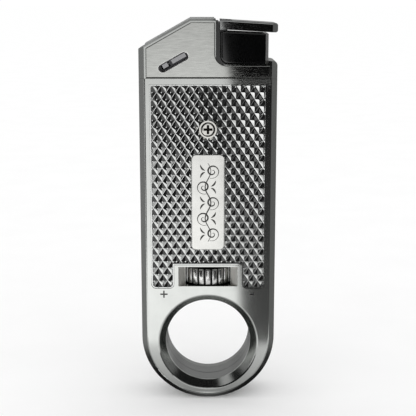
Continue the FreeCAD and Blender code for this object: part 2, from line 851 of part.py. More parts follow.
def build_adjuster_wheel():
    """The fluted flame wheel, turned by a fingertip in the case windows."""
    body = new_body("adjuster_wheel")
    disc = new_sketch(body, "XY_Plane", "wheel_centre")
    draw_circle(disc, "0", "0", "wheel_radius")
    pad(body, disc, "2 * wheel_half_thickness", both_ways=True)
    dress(body, "Chamfer", "0.45", lambda edge: near(getattr(edge.Curve, "Radius", 0), size("wheel_radius")))
    flute = new_sketch(body, "XY_Plane", "wheel_centre")
    draw_circle(flute, "0", "-(wheel_radius + 0.1)", "flute_radius")
    first_cut = pocket(body, flute, "4 * wheel_half_thickness", both_ways=True)
    pattern = body.newObject("PartDesign::PolarPattern", "Flutes")
    pattern.Originals = [first_cut]
    axis = [feature for feature in body.Origin.OriginFeatures if feature.Role == "Z_Axis"][0]
    pattern.Axis = (axis, [""])
    pattern.Angle = 360
    bind(pattern, "Occurrences", "wheel_flutes")
    body.Tip = pattern
    doc.recompute()
    hub = new_sketch(body, "XY_Plane", "wheel_centre")
    draw_circle(hub, "0", "0", "hub_radius")
    pad(body, hub, "2 * hub_half_length", both_ways=True)
    lower_bore = new_sketch(body, "XY_Plane", "wheel_centre - 0.4")
    draw_circle(lower_bore, "0", "0", "spindle_radius + running_gap")
    pocket(body, lower_bore, "hub_half_length")
    upper_bore = new_sketch(body, "XY_Plane", "wheel_centre - 0.2")
    draw_circle(upper_bore, "0", "0", "spindle_radius")
    pocket(body, upper_bore, "hub_half_length + 0.3", forwards=True)
    return body


# ---------------------------------------------------------------- head block

SHOULDER_SLOPE = "((head_top - shoulder_low) / (shoulder_end + case_half_width))"


def shoulder_height(x, offset):
    """Height of the line parallel to the shoulder, at x and offset outwards from it."""
    return "shoulder_low + (%s + case_half_width) * %s + (%s) / cos(atan(%s))" % (
        x, SHOULDER_SLOPE, offset, SHOULDER_SLOPE)


def shoulder_across(z, offset):
    """Where the line parallel to the shoulder, offset outwards from it, reaches height z."""
    return "(%s - shoulder_low - (%s) / cos(atan(%s))) / %s - case_half_width" % (
        z, offset, SHOULDER_SLOPE, SHOULDER_SLOPE)


def head_plate_outline(grow):
    """Outline of a head plate: the head's own outline, set in from its bevels."""
    left = "-case_half_width + plate_side_margin - %s" % grow
    right = "case_half_width - plate_side_margin + %s" % grow
    inset = "%s - plate_top_margin" % grow
    top = "head_top - plate_top_margin + %s" % grow
    side = "head_wall_right - 0.2"
    shelf = "ledge - 0.2"
    return [(left, "head_bottom + 0.02"), (right, "head_bottom + 0.02"), (right, shelf), (side, shelf),
            (side, top), (shoulder_across(top, inset), top), (left, shoulder_height(left, inset))]


def cut_upright_corners(body, low, height, bevel, sides):
    """Plane off upright corners of a full-depth block at 45 degrees, on the sides named."""
    for across in sides:
        for deep in ("-", ""):
            corner_x = across + "(case_half_width + 0.1)"
            corner_y = deep + "(case_half_depth + 0.1)"
            corner = new_sketch(body, "XY_Plane", low)
            draw_polygon(corner, [(corner_x, corner_y),
                                  (across + "(case_half_width - %s - 0.1)" % bevel, corner_y),
                                  (corner_x, deep + "(case_half_depth - %s - 0.1)" % bevel)])
            pocket(body, corner, height, forwards=True)


def build_head_casing():
    """The head block: shoulder, ledge for the burner, and the cavity for the mechanism."""
    body = new_body("head_casing")
    depth = "2 * case_half_depth"
    face_y = size("case_half_depth")
    outline = new_sketch(body, "XZ_Plane")
    draw_polygon(outline, [
        ("-case_half_width", "head_bottom"), ("case_half_width", "head_bottom"),
        ("case_half_width", "nub_top"), ("nub_left", "nub_top"), ("nub_left", "ledge"),
        ("head_wall_right", "ledge"), ("head_wall_right", "head_top"), ("shoulder_end", "head_top"),
        ("-case_half_width", "shoulder_low")])
    pad(body, outline, depth, both_ways=True)
    half_width = size("case_half_width")

    def is_nub_corner(edge):
        middle = centre_of(edge)
        return runs_along(edge, "y") and near(middle.x, half_width) and near(middle.z, size("nub_top"))

    dress(body, "Fillet", "nub_round", is_nub_corner)

    def is_top_rim(edge):
        middle = centre_of(edge)
        on_top = near(middle.z, size("head_top")) and runs_along(edge, "x")
        box = edge.BoundBox
        slanted = box.ZLength > 3 and box.XLength > 3 and box.YLength < 1e-3
        return near(abs(middle.y), face_y) and (on_top or slanted)

    dress(body, "Chamfer", "top_bevel", is_top_rim)
    cut_upright_corners(body, "head_bottom", "head_top - head_bottom", "side_bevel", ("-", ""))
    for front in (True, False):
        face = "case_half_depth" if front else "-case_half_depth"
        seat = new_sketch(body, "XZ_Plane", face)
        points = head_plate_outline("plate_gap")
        points[0] = (points[0][0], "head_bottom - 1")
        points[1] = (points[1][0], "head_bottom - 1")
        points[2] = (points[2][0], "ledge + 1")
        points[3] = ("head_wall_right + 1", "ledge + 1")
        points[4] = ("head_wall_right + 1", points[4][1])
        draw_polygon(seat, points)
        pocket(body, seat, "plate_thickness", forwards=not front)
    cavity = new_sketch(body, "XZ_Plane")
    draw_polygon(cavity, [
        ("cavity_left", "cavity_floor"), ("channel_right", "cavity_floor"), ("channel_right", "ledge + 1"),
        ("head_wall_right + 1", "ledge + 1"), ("head_wall_right + 1", "head_top + 1"),
        ("cavity_left", "head_top + 1")])
    pocket(body, cavity, "2 * cavity_half_depth", both_ways=True)
    cross_holes = (
        ("lever_pivot_across", "lever_pivot_height", "lever_pin_radius + 0.01"),
        ("spark_across", "spark_height", "axle_radius + 0.01"),
        ("fork_across", "fork_height", "fork_pin_radius + 0.01"),
    )
    for x, z, radius in cross_holes:
        drill = new_sketch(body, "XZ_Plane")
        draw_circle(drill, x, z, radius)
        pocket(body, drill, "2 * (cavity_half_depth + 1.6)", both_ways=True)
    upright_holes = (
        # across, radius, from, to
        ("burner_across", "valve_radius + 0.1", "head_bottom - 0.1", "cavity_floor + 0.1"),
        ("left_screw_across", "0.85", "head_bottom - 0.1", "cavity_floor + 0.1"),
        ("right_screw_across", "0.85", "head_bottom - 0.1", "cavity_floor + 1"),
        ("right_screw_across", "1.5", "cavity_floor + 0.5", "ledge + 0.1"),
    )
    for across, radius, low, high in upright_holes:
        drill = new_sketch(body, "XY_Plane", low)
        draw_circle(drill, across, "0", radius)
        pocket(body, drill, "%s - (%s)" % (high, low), forwards=True)
    cut_spark_slot(body, "case_half_depth - cavity_half_depth + 0.1")
    return body


def cut_spark_slot(body, depth):
    """The round-ended slot beside the flint, cut inwards from the front face."""
    here = ("slot_across", "slot_height")
    straight = "slot_half_length - slot_half_width"
    middle = new_sketch(body, "XZ_Plane", "case_half_depth", here, "slot_angle")
    draw_rectangle(middle, "-(%s)" % straight, straight, "-slot_half_width", "slot_half_width")
    pocket(body, middle, depth)
    for sign in ("-", ""):
        end = new_sketch(body, "XZ_Plane", "case_half_depth", here, "slot_angle")
        draw_circle(end, "%s(%s)" % (sign, straight), "0", "slot_half_width")
        pocket(body, end, depth)


def build_head_plate(name, front):
    """A brushed plate let into the head block. The front one has the spark slot."""
    body = new_body(name)
    face = "case_half_depth" if front else "-case_half_depth"
    face_y = -size("case_half_depth") if front else size("case_half_depth")
    outline = new_sketch(body, "XZ_Plane", face)
    draw_polygon(outline, head_plate_outline("0"))
    pad(body, outline, "plate_thickness", backwards=front)

    def is_window_corner(edge):
        middle = centre_of(edge)
        inner_corner = near(middle.x, size("head_wall_right") - 0.2) and near(middle.z, size("ledge") - 0.2)
        return runs_along(edge, "y") and inner_corner

    dress(body, "Fillet", "window_corner", is_window_corner)
    if front:
        cut_spark_slot(body, "plate_thickness")
    foot = size("head_bottom") + 0.02

    def is_foot(edge):
        return on_face_plane(edge, face_y) and near(centre_of(edge).z, foot)

    dress(body, "Fillet", "plate_edge", lambda edge: on_face_plane(edge, face_y) and not is_foot(edge))
    slope = new_sketch(body, "YZ_Plane", "-case_half_width")
    deep = "-" if front else ""
    draw_polygon(slope, [(deep + "(case_half_depth + 0.3)", "head_bottom"),
                         (deep + "(case_half_depth - plate_foot_depth)", "head_bottom"),
                         (deep + "(case_half_depth - plate_foot_depth)", "head_bottom + 0.02"),
                         (deep + "case_half_depth", "head_bottom + 0.02 + plate_foot_height"),
                         (deep + "(case_half_depth + 0.3)", "head_bottom + 0.02 + plate_foot_height")])
    pocket(body, slope, "2 * case_half_width", forwards=True)
    return body


def build_screw_down(name, across, seat):
    """A cross-head screw that ties the head block to the roof of the case."""
    body = new_body(name)
    head = new_sketch(body, "XY_Plane", seat)
    draw_circle(head, across, "0", "1.3")
    pad(body, head, "1.0")
    shank = new_sketch(body, "XY_Plane", seat)
    draw_circle(shank, across, "0", "0.78")
    pad(body, shank, "%s - roof_bottom - 0.2" % seat, backwards=True)
    cross = new_sketch(body, "XY_Plane", "%s + 1" % seat)
    draw_cross(cross, across, "0", "0.8", "0.2")
    pocket(body, cross, "0.5")
    return body


# ---------------------------------------------------------------- spark mechanism

def build_flint_block():
    """The block that guides the flint to the spark wheel and carries the lever's spring."""
    body = new_body("flint_block")
    rise = "tan(slot_angle)"
    half = "(1.7 / cos(slot_angle))"

    def edge_height(x, sign):
        return "slot_height + (%s - slot_across) * %s %s %s" % (x, rise, sign, half)

    floor = "cavity_floor + fit_gap"
    toe = "slot_across + (%s - slot_height + %s) / %s" % (floor, half, rise)
    outline = new_sketch(body, "XZ_Plane")
    draw_polygon(outline, [
        ("block_left", floor), (toe, floor), ("tower_right", edge_height("tower_right", "-")),
        ("tower_right", "tower_top"), ("tower_left", "tower_top"),
        ("tower_left", edge_height("tower_left", "+")), ("block_left", edge_height("block_left", "+"))])
    pad(body, outline, "2 * block_half_depth", both_ways=True)
    bore = new_sketch(body, "YZ_Plane")
    bore.AttachmentOffset = Placement(Vector(0, 0, 0), Rotation(Vector(-1, 0, 0), 1))
    bind(bore, "AttachmentOffset.Rotation.Angle", "slot_angle")
    place_on_flint_axis(bore, "bore_back")
    draw_circle(bore, "0", "0", "bore_radius")
    pocket(body, bore, "14", forwards=True)
    stem_slot = new_sketch(body, "XZ_Plane", "block_half_depth", ("slot_across", "slot_height"), "slot_angle")
    draw_rectangle(stem_slot, "block_back - 0.75", "block_front + 0.1", "-0.7", "0.7")
    pocket(body, stem_slot, "block_half_depth")
    return body


def place_on_flint_axis(sketch, distance):
    """Move a sketch of the YZ plane so that the flint's axis goes through its origin."""
    bind(sketch, "AttachmentOffset.Base.x", "0")
    bind(sketch, "AttachmentOffset.Base.y", "slot_height + %s * sin(slot_angle)" % distance)
    bind(sketch, "AttachmentOffset.Base.z", "slot_across + %s * cos(slot_angle)" % distance)


def build_flint_slider():
    """The retracting slide: a thumbnail block in the slot, its stem and its follower."""
    body = new_body("flint_slider")
    here = ("slot_across", "slot_height")
    block = new_sketch(body, "XZ_Plane", "case_half_depth - 0.2", here, "slot_angle")
    draw_rectangle(block, "block_back", "block_front", "bar_low", "bar_high")
    pad(body, block, "plate_thickness - 0.3", backwards=True)
    stem = new_sketch(body, "XZ_Plane", "case_half_depth - 0.5", here, "slot_angle")
    draw_rectangle(stem, "block_back + 0.25", "block_front - 0.25", "bar_low", "0.4")
    pad(body, stem, "case_half_depth - 1", backwards=True)
    follower = new_sketch(body, "YZ_Plane")
    follower.AttachmentOffset = Placement(Vector(0, 0, 0), Rotation(Vector(-1, 0, 0), 1))
    bind(follower, "AttachmentOffset.Rotation.Angle", "slot_angle")
    place_on_flint_axis(follower, "follower_back")
    draw_circle(follower, "0", "0", "flint_radius")
    pad(body, follower, "follower_front - follower_back")
    return body


def build_slot_bar():
    """The bar that fills the upper end of the slot and stands on the flint block."""
    body = new_body("slot_bar")
    bar = new_sketch(body, "XZ_Plane", "case_half_depth - 0.2", ("slot_across", "slot_height"), "slot_angle")
    draw_rectangle(bar, "bar_back", "bar_front", "bar_low", "bar_high")
    pad(body, bar, "case_half_depth - 0.2 - block_half_depth", backwards=True)
    return body


def build_spark_wheel():
    """The hardened wheel whose teeth scrape the flint."""
    body = new_body("spark_wheel")
    disc = new_sketch(body, "XZ_Plane")
    draw_circle(disc, "spark_across", "spark_height", "spark_radius")
    pad(body, disc, "2 * spark_half_width", both_ways=True)
    bore = new_sketch(body, "XZ_Plane")
    draw_circle(bore, "spark_across", "spark_height", "axle_radius + running_gap")
    pocket(body, bore, "3 * spark_half_width", both_ways=True)
    teeth = new_sketch(body, "XZ_Plane")
    for index in range(int(size("spark_teeth"))):
        angle = "%d * 360 / spark_teeth" % index
        for_x = "spark_across + (spark_radius + 0.12) * cos(%s)" % angle
        for_z = "spark_height + (spark_radius + 0.12) * sin(%s)" % angle
        draw_circle(teeth, for_x, for_z, "0.26")
    pocket(body, teeth, "3 * spark_half_width", both_ways=True)
    return body


def build_ratchet_wheel():
    """The small ratchet beside the spark wheel, pushed round by the lever's pawl."""
    body = new_body("ratchet_wheel")
    disc = new_sketch(body, "XZ_Plane", "-spark_half_width")
    points = []
    teeth = 8
    for index in range(teeth):
        for radius, step in (("ratchet_radius", 0.0), ("ratchet_radius - 0.4", 0.08)):
            angle = "%.4f * 360" % (index / teeth + step)
            points.append(("spark_across + (%s) * cos(%s)" % (radius, angle),
                           "spark_height + (%s) * sin(%s)" % (radius, angle)))
    draw_polygon(disc, points)
    pad(body, disc, "1.3", backwards=True)
    bore = new_sketch(body, "XZ_Plane", "-spark_half_width")
    draw_circle(bore, "spark_across", "spark_height", "axle_radius + running_gap")
    pocket(body, bore, "1.3")
    return body


def build_thumb_lever():
    """The thumb piece that fills the shoulder and the flat top, and works the mechanism."""
    body = new_body("thumb_lever")
    width = "2 * lever_half_depth"
    top = "head_top + lever_proud"
    under = "head_top - lever_thickness"
    outline = new_sketch(body, "XZ_Plane")
    draw_polygon(outline, [
        ("lever_left", "lever_pivot_height"),
        ("lever_left + 3.1", "lever_pivot_height"),
        ("lever_left + 3.5", shoulder_height("lever_left + 3.5", "-lever_thickness")),
        (shoulder_across(under, "-lever_thickness"), under),
        ("lever_right", under),
        ("lever_right", top),
        (shoulder_across(top, "lever_proud"), top),
        ("lever_left", shoulder_height("lever_left", "lever_proud"))])
    pad(body, outline, width, both_ways=True)
    boss = new_sketch(body, "XZ_Plane")
    draw_circle(boss, "lever_pivot_across", "lever_pivot_height", "lever_boss_radius")
    pad(body, boss, width, both_ways=True)
    bore = new_sketch(body, "XZ_Plane")
    draw_circle(bore, "lever_pivot_across", "lever_pivot_height", "lever_pin_radius + running_gap")
    pocket(body, bore, width + " + 1", both_ways=True)
    leg = new_sketch(body, "XZ_Plane", "-lever_half_depth")
    draw_rectangle(leg, "leg_left", "leg_left + 1.2", "leg_bottom", "head_top - 2")
    pad(body, leg, "1")
    shoulder_start = ("-case_half_width", "shoulder_low")
    ridges = new_sketch(body, "XZ_Plane", "0", shoulder_start, "atan(%s)" % SHOULDER_SLOPE)
    for index in range(9):
        start = "%.1f" % (3.4 + 1.15 * index)
        draw_rectangle(ridges, start, start + " + 0.45", "lever_proud - 0.3", "lever_proud + 0.5")
    pocket(body, ridges, "2 * (lever_half_depth - ridge_margin)", both_ways=True)
    return body


def build_pawl():
    """The springy strip under the lever that pushes the ratchet round."""
    body = new_body("ratchet_pawl")
    strip = new_sketch(body, "XZ_Plane", "-1.7")
    draw_rectangle(strip, "-1.95", "-1.4", "spark_height - 0.2", "head_top - lever_thickness")
    pad(body, strip, "1.1", backwards=True)
    return body


def build_valve_fork():
    """The rocker that turns the lever's stroke into lift under the nozzle's collar."""
    body = new_body("valve_fork")
    hub = new_sketch(body, "XZ_Plane")
    draw_circle(hub, "fork_across", "fork_height", "fork_hub_radius")
    pad(body, hub, "7", both_ways=True)
    arms = (
        # left, right, low y, high y
        ("-7", "fork_across", "2.5", "3.6"),
        ("fork_across", "10.4", "-2.6", "-1.4"),
        ("fork_across", "10.4", "1.4", "2.6"),
    )
    for left, right, low, high in arms:
        arm = new_sketch(body, "XY_Plane", "fork_height")
        draw_rectangle(arm, left, right, low, high)
        pad(body, arm, "2 * fork_half_thickness", both_ways=True)
    bore = new_sketch(body, "XZ_Plane")
    draw_circle(bore, "fork_across", "fork_height", "fork_pin_radius + running_gap")
    pocket(body, bore, "9", both_ways=True)
    return body


# ---------------------------------------------------------------- wind guard and lid

def build_wind_guard():
    """The black housing round the flame, with the hinge knuckles for the lid."""
    body = new_body("wind_guard")
    profile = new_sketch(body, "XZ_Plane")
    draw_polygon(profile, [("guard_left", "ledge"), ("guard_right", "ledge"),
                           ("guard_right", "guard_top_right"), ("guard_left", "guard_top_left")])
    pad(body, profile, "2 * guard_half_depth", both_ways=True)

    def is_low_corner(edge):
        middle = centre_of(edge)
        return near(middle.x, size("guard_left")) and near(middle.z, size("ledge")) and runs_along(edge, "y")

    dress(body, "Chamfer", "guard_edge",
          lambda edge: runs_along(edge, "z") and near(edge.BoundBox.XMax, size("guard_right")))
    dress(body, "Fillet", "guard_low_round", is_low_corner)
    dress(body, "Fillet", "guard_edge",
          lambda edge: runs_along(edge, "z") and near(edge.BoundBox.XMin, size("guard_left")))

    def is_top_edge(edge):
        box = edge.BoundBox
        return box.XLength > 5 and box.YLength < 1e-3 and box.ZMin > size("guard_top_right") - 0.1

    dress(body, "Fillet", "guard_top_round", is_top_edge)
    flanges = (
        # right, bottom, top
        ("flange_right", "ledge", "flange_shelf"),
        ("guard_left + 0.1", "flange_shelf - 0.1", "guard_top_left - 0.1"),
        ("flange_lip", "guard_top_left - 0.2", "flange_top"),
    )
    for right, low, high in flanges:
        flange = new_sketch(body, "XZ_Plane")
        draw_rectangle(flange, "flange_left", right, low, high)
        pad(body, flange, "2 * flange_half_depth", both_ways=True)
    thumb_gap = new_sketch(body, "XZ_Plane")
    draw_rectangle(thumb_gap, "flange_left - 0.1", "thumb_gap_right",
                   "flange_shelf + 0.8", "flange_top + 0.1")
    pocket(body, thumb_gap, "2 * lever_half_depth + 0.3", both_ways=True)
    fork_gap = new_sketch(body, "XZ_Plane")
    draw_rectangle(fork_gap, "flange_left - 0.1", "fork_across + fork_hub_radius + 0.1",
                   "ledge - 0.1", "fork_height + fork_hub_radius + 0.25")
    pocket(body, fork_gap, "7.4", both_ways=True)
    wheel_gap = new_sketch(body, "YZ_Plane", "flange_left - 0.1")
    draw_rectangle(wheel_gap, "-2.9", "2.9", "spark_height - ratchet_radius - 0.4", "flange_shelf - 0.2")
    pocket(body, wheel_gap, "0.6", forwards=True)
    web = new_sketch(body, "XZ_Plane")
    draw_rectangle(web, "thumb_gap_right", "hinge_across + 0.1", "flange_shelf - 0.1", "hinge_height + 0.7")
    pad(body, web, "2 * knuckle_half_span", both_ways=True)
    knuckle = new_sketch(body, "XZ_Plane")
    draw_circle(knuckle, "hinge_across", "hinge_height", "knuckle_radius")
    pad(body, knuckle, "2 * knuckle_half_span", both_ways=True)
    hollow = new_sketch(body, "XY_Plane", "ledge")
    deep = "guard_half_depth - guard_wall"
    draw_rectangle(hollow, "guard_left + guard_wall", "guard_right - guard_wall", "-(%s)" % deep, deep)
    pocket(body, hollow, "8.6", forwards=True)
    spring_gap = new_sketch(body, "XZ_Plane")
    draw_rectangle(spring_gap, "flange_left - 0.1", "hinge_across + 2",
                   "guard_top_left + 0.1", "head_top + 1")
    pocket(body, spring_gap, "2 * knuckle_gap_half", both_ways=True)
    spark_window = new_sketch(body, "YZ_Plane", "flange_left - 0.1")
    draw_rectangle(spark_window, "-1.8", "1.8", "92.9", "99.6")
    pocket(body, spark_window, "guard_left - flange_left + guard_wall + 0.3", forwards=True)
    bore = new_sketch(body, "XZ_Plane")
    draw_circle(bore, "hinge_across", "hinge_height", "hinge_pin_radius + 0.01")
    pocket(body, bore, "2 * knuckle_half_span + 1", both_ways=True)
    return body


def build_burner_base():
    """The brass floor of the wind guard, with the nozzle's hole and two air holes."""
    body = new_body("burner_base")
    outline = new_sketch(body, "XY_Plane", "base_bottom")
    deep = "guard_half_depth - guard_wall - 0.02"
    draw_rectangle(outline, "guard_left + guard_wall + 0.02", "guard_right - guard_wall - 0.02",
                   "-(%s)" % deep, deep)
    pad(body, outline, "base_thickness")
    holes = new_sketch(body, "XY_Plane", "base_bottom")
    draw_circle(holes, "burner_across", "0", "1.5")
    for side in ("-", ""):
        draw_circle(holes, "burner_across + 3", side + "3", "0.6")
        draw_circle(holes, "burner_across - 3", side + "3", "0.6")
    pocket(body, holes, "base_thickness", forwards=True)
    return body


def build_lid():
    """The lid over the flame: slanted bar, rear and front knuckles, hollow underneath."""
    body = new_body("lid")
    depth = "2 * case_half_depth"
    profile = new_sketch(body, "XZ_Plane")
    draw_polygon(profile, [("hinge_across", "lid_under_left"), ("case_half_width", "lid_under_right"),
                           ("case_half_width", "lid_top_right"), ("hinge_across", "lid_top_left")])
    pad(body, profile, depth, both_ways=True)
    half_width = size("case_half_width")

    def is_end(edge):
        return runs_along(edge, "y") and near(centre_of(edge).x, half_width)

    dress(body, "Fillet", "0.6", is_end)
    cut_upright_corners(body, "lid_under_right - 1", "6", "lid_end_bevel", ("",))
    fall = "(lid_top_left - lid_top_right) / (case_half_width - hinge_across)"
    for y in ("case_half_depth", "-cheek_inner"):
        cheek = new_sketch(body, "XZ_Plane", y)
        draw_polygon(cheek, [("cheek_left", "lid_under_left"), ("hinge_across + 2", "lid_under_left"),
                             ("hinge_across + 2", "lid_top_left - 2 * " + fall),
                             ("cheek_left", "lid_top_left + (hinge_across - cheek_left) * " + fall)])
        pad(body, cheek, "case_half_depth - cheek_inner", backwards=True)
    knuckle = new_sketch(body, "XZ_Plane")
    draw_circle(knuckle, "hinge_across", "hinge_height", "lid_knuckle_radius")
    pad(body, knuckle, depth, both_ways=True)
    hinge_gap = new_sketch(body, "XY_Plane", "lid_under_right - 1")
    draw_rectangle(hinge_gap, "guard_left - 1", "hinge_across + 1.75",
                   "-(knuckle_half_span + 0.3)", "knuckle_half_span + 0.3")
    pocket(body, hinge_gap, "6", forwards=True)
    half_depth = size("case_half_depth")

    def is_long_rim(edge):
        box = edge.BoundBox
        on_side = box.YLength < 1e-3 and near(abs(box.YMin), half_depth)
        return on_side and box.XLength > 5 and box.ZMin > size("lid_top_right") - 0.3

    dress(body, "Fillet", "lid_rim", is_long_rim)
    hollow = new_sketch(body, "XY_Plane", "lid_ceiling")
    draw_rectangle(hollow, "hinge_across + 2.6", "16.3", "-5.6", "5.6")
    pocket(body, hollow, "3")
    bore = new_sketch(body, "XZ_Plane", "-case_half_depth")
    draw_circle(bore, "hinge_across", "hinge_height", "hinge_pin_radius + running_gap")
    pocket(body, bore, "2 * case_half_depth - 0.9", forwards=True)
    return body


# ---------------------------------------------------------------- assembly

def build_pins():
    cheek = "cavity_half_depth + 1.5"
    return [
        cylinder("lever_pivot_pin", "lever_pin_radius", "2 * (%s)" % cheek,
                 ("lever_pivot_across", "-(%s)" % cheek, "lever_pivot_height"), "y"),
        cylinder("spark_wheel_axle", "axle_radius", "2 * (%s)" % cheek,
                 ("spark_across", "-(%s)" % cheek, "spark_height"), "y"),
        cylinder("valve_fork_pin", "fork_pin_radius", "2 * (%s)" % cheek,
                 ("fork_across", "-(%s)" % cheek, "fork_height"), "y"),
        cylinder("lid_hinge_pin", "hinge_pin_radius", "2 * case_half_depth - 1.1",
                 ("hinge_across", "-case_half_depth + 1", "hinge_height"), "y"),
        cylinder("wheel_pivot_pin", "spindle_radius", "wheel_centre - 0.5 - 29.7", ("0", "0", "29.7"), "z"),
        cylinder("regulator_spindle", "spindle_radius", "8.6", ("0", "0", "wheel_centre - 0.1"), "z"),
    ]


def build_flint_train():
    flint = cylinder("flint", "flint_radius", "flint_front - flint_back", ("0", "0", "0"), "x")
    along_slot(flint, "flint_back")
    rod = cylinder("flint_push_rod", "rod_radius", "flint_back - follower_front - 0.1", ("0", "0", "0"), "x")
    along_slot(rod, "follower_front")
    spring = coil_spring("flint_spring", "0.85", "0.15", "follower_back - bore_back", "3.5")
    along_slot(spring, "bore_back + 0.15")
    return [flint, rod, spring]


def build_lever_spring():
    spring = coil_spring("lever_spring", "1.05", "0.18", "3.3", "5")
    bind(spring, "Placement.Base.x", "lever_spring_across")
    bind(spring, "Placement.Base.z", "tower_top + 0.18")
    return spring


def build_lid_spring():
    spring = coil_spring("lid_spring", "0.88", "0.16", "2 * knuckle_gap_half - 0.4", "6")
    spring.Placement = Placement(Vector(0, 0, 0), Rotation(Vector(1, 0, 0), -90))
    bind(spring, "Placement.Base.x", "hinge_across")
    bind(spring, "Placement.Base.y", "0.36 - knuckle_gap_half")
    bind(spring, "Placement.Base.z", "hinge_height")
    return spring


def build_all():
    nodes = [
        build_case_frame(),
        build_cover("front_cover", True),
        build_cover("rear_cover", False),
        build_ring_liners(),
        build_grip_panel("front_grip_panel", True),
        build_grip_panel("rear_grip_panel", False),
        build_nameplate(),
        build_case_screw("front_case_screw", True),
        build_case_screw("rear_case_screw", False),
        build_screw_washers(),
        build_gas_tank(),
        build_tank_cap(),
        build_regulator_valve(),
        build_gas_tube(),
        build_valve_body(),
        build_burner_nozzle(),
        build_fill_valve(),
        build_adjuster_wheel(),
        build_head_casing(),
        build_head_plate("head_front_plate", True),
        build_head_plate("head_rear_plate", False),
        build_screw_down("left_head_screw", "left_screw_across", "cavity_floor"),
        build_screw_down("right_head_screw", "right_screw_across", "(cavity_floor + 0.5)"),
        build_flint_block(),
        build_flint_slider(),
        build_slot_bar(),
        build_spark_wheel(),
        build_ratchet_wheel(),
        build_thumb_lever(),
        build_pawl(),
        build_valve_fork(),
        build_wind_guard(),
        build_burner_base(),
        build_lid(),
        build_lever_spring(),
        build_lid_spring(),
        seal_ring("regulator_seal", "regulator_radius + 0.35", "0.33",
                  ("0", "0", "tank_bottom + 1.35"), False),
        seal_ring("fill_valve_seal", "fill_radius + 0.3", "0.27",
                  ("-tank_half_width - 0.28", "0", "fill_height"), True),
    ]
    nodes += build_pins()
    nodes += build_flint_train()
    return nodes


def check_document():
    """Stop if any object of the document failed to build."""
    for item in doc.Objects:
        bad = [state for state in item.State if state in ("Invalid", "Error")]
        if bad:
            raise RuntimeError("%s is %s" % (item.Label, bad))


def export(nodes):
    os.makedirs("parts", exist_ok=True)
    for node in nodes:
        shape = node.Shape
        if shape.isNull() or not shape.isValid() or not shape.Solids:
            raise RuntimeError("%s has no valid solid" % node.Label)
        shape.exportStep(os.path.join("parts", node.Label + ".step"))
        print("%-20s %d solids %9.2f mm3" % (node.Label, len(shape.Solids), shape.Volume))


all_nodes = build_all()
doc.recompute()
check_document()
export(all_nodes)
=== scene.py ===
import json
import math

import bmesh
import bpy
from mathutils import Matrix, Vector


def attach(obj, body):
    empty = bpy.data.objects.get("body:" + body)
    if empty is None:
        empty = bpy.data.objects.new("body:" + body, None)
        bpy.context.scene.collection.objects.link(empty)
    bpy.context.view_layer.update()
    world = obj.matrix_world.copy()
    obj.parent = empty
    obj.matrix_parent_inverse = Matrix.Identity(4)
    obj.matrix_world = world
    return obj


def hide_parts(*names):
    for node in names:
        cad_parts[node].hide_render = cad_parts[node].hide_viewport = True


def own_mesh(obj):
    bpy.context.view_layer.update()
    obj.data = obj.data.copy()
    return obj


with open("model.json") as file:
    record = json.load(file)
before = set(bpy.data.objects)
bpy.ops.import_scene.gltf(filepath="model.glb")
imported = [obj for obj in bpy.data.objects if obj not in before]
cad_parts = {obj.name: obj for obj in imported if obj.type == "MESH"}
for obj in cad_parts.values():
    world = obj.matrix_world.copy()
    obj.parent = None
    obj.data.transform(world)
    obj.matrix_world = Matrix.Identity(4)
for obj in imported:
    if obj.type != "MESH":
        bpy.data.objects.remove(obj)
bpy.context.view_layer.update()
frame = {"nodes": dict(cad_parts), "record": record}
NODES = frame["nodes"]
SCENE = bpy.context.scene
MM = 0.001

# Sizes of the CAD model that the detailed pieces and the materials follow, in millimetres.
CASE_HALF_DEPTH = 7.25
RECESS_FLOOR = 6.06
PANEL_HALF_WIDTH = 15.2
PANEL_LOW = 31.7
PANEL_HIGH = 86.5
PANEL_MIDDLE = (PANEL_LOW + PANEL_HIGH) / 2
PANEL_CORNER = 1.3
NOTCH_HALF_WIDTH = 9.15
NOTCH_TOP = 38.25
SCREW_HEIGHT = 74.8
SCREW_HOLE = 2.32
PLATE_HALF_WIDTH = 4.38
PLATE_HALF_LENGTH = 12.85
PLATE_CENTRE = 55.3
PLATE_CORNER = 1.2
WHEEL_HEIGHT = 34.75
WHEEL_RADIUS = 7.16
WHEEL_TEETH = 24
SLOT_ACROSS = -8.9
SLOT_HEIGHT = 92.2
SLOT_HALF_STRAIGHT = 3.175
FLINT_SLANT = math.radians(29.0)
GUARD_EDGE = 14.92

# The knurling: its pitch across and along the panel, and its top.
KNURL_ACROSS = 2.42
KNURL_ALONG = 3.62
KNURL_TOP = 7.15
# distance from a pyramid's middle, in cells, and height above the bottom of the grooves
PYRAMID = ((0.0, 0.66), (0.055, 0.66), (0.425, 0.109), (0.46, 0.072), (0.5, 0.062))
FRAME_WIDTH = 0.34


# ---------------------------------------------------------------- node helpers

def new_node(tree, kind, settings=None, inputs=None):
    """A node with its settings and the values or links of its inputs."""
    node = tree.nodes.new(kind)
    for key, value in (settings or {}).items():
        setattr(node, key, value)
    for key, value in (inputs or {}).items():
        if isinstance(value, bpy.types.NodeSocket):
            tree.links.new(value, node.inputs[key])
        else:
            node.inputs[key].default_value = value
    return node


def maths(tree, operation, first, second=None):
    inputs = {0: first}
    if second is not None:
        inputs[1] = second
    return new_node(tree, "ShaderNodeMath", {"operation": operation}, inputs).outputs[0]


def remap(tree, value, low, high, start, end, smooth=False):
    """Value from low..high to start..end, clamped."""
    settings = {"clamp": True}
    if smooth:
        settings["interpolation_type"] = "SMOOTHSTEP"
    inputs = {0: value, 1: low, 2: high, 3: start, 4: end}
    return new_node(tree, "ShaderNodeMapRange", settings, inputs).outputs[0]


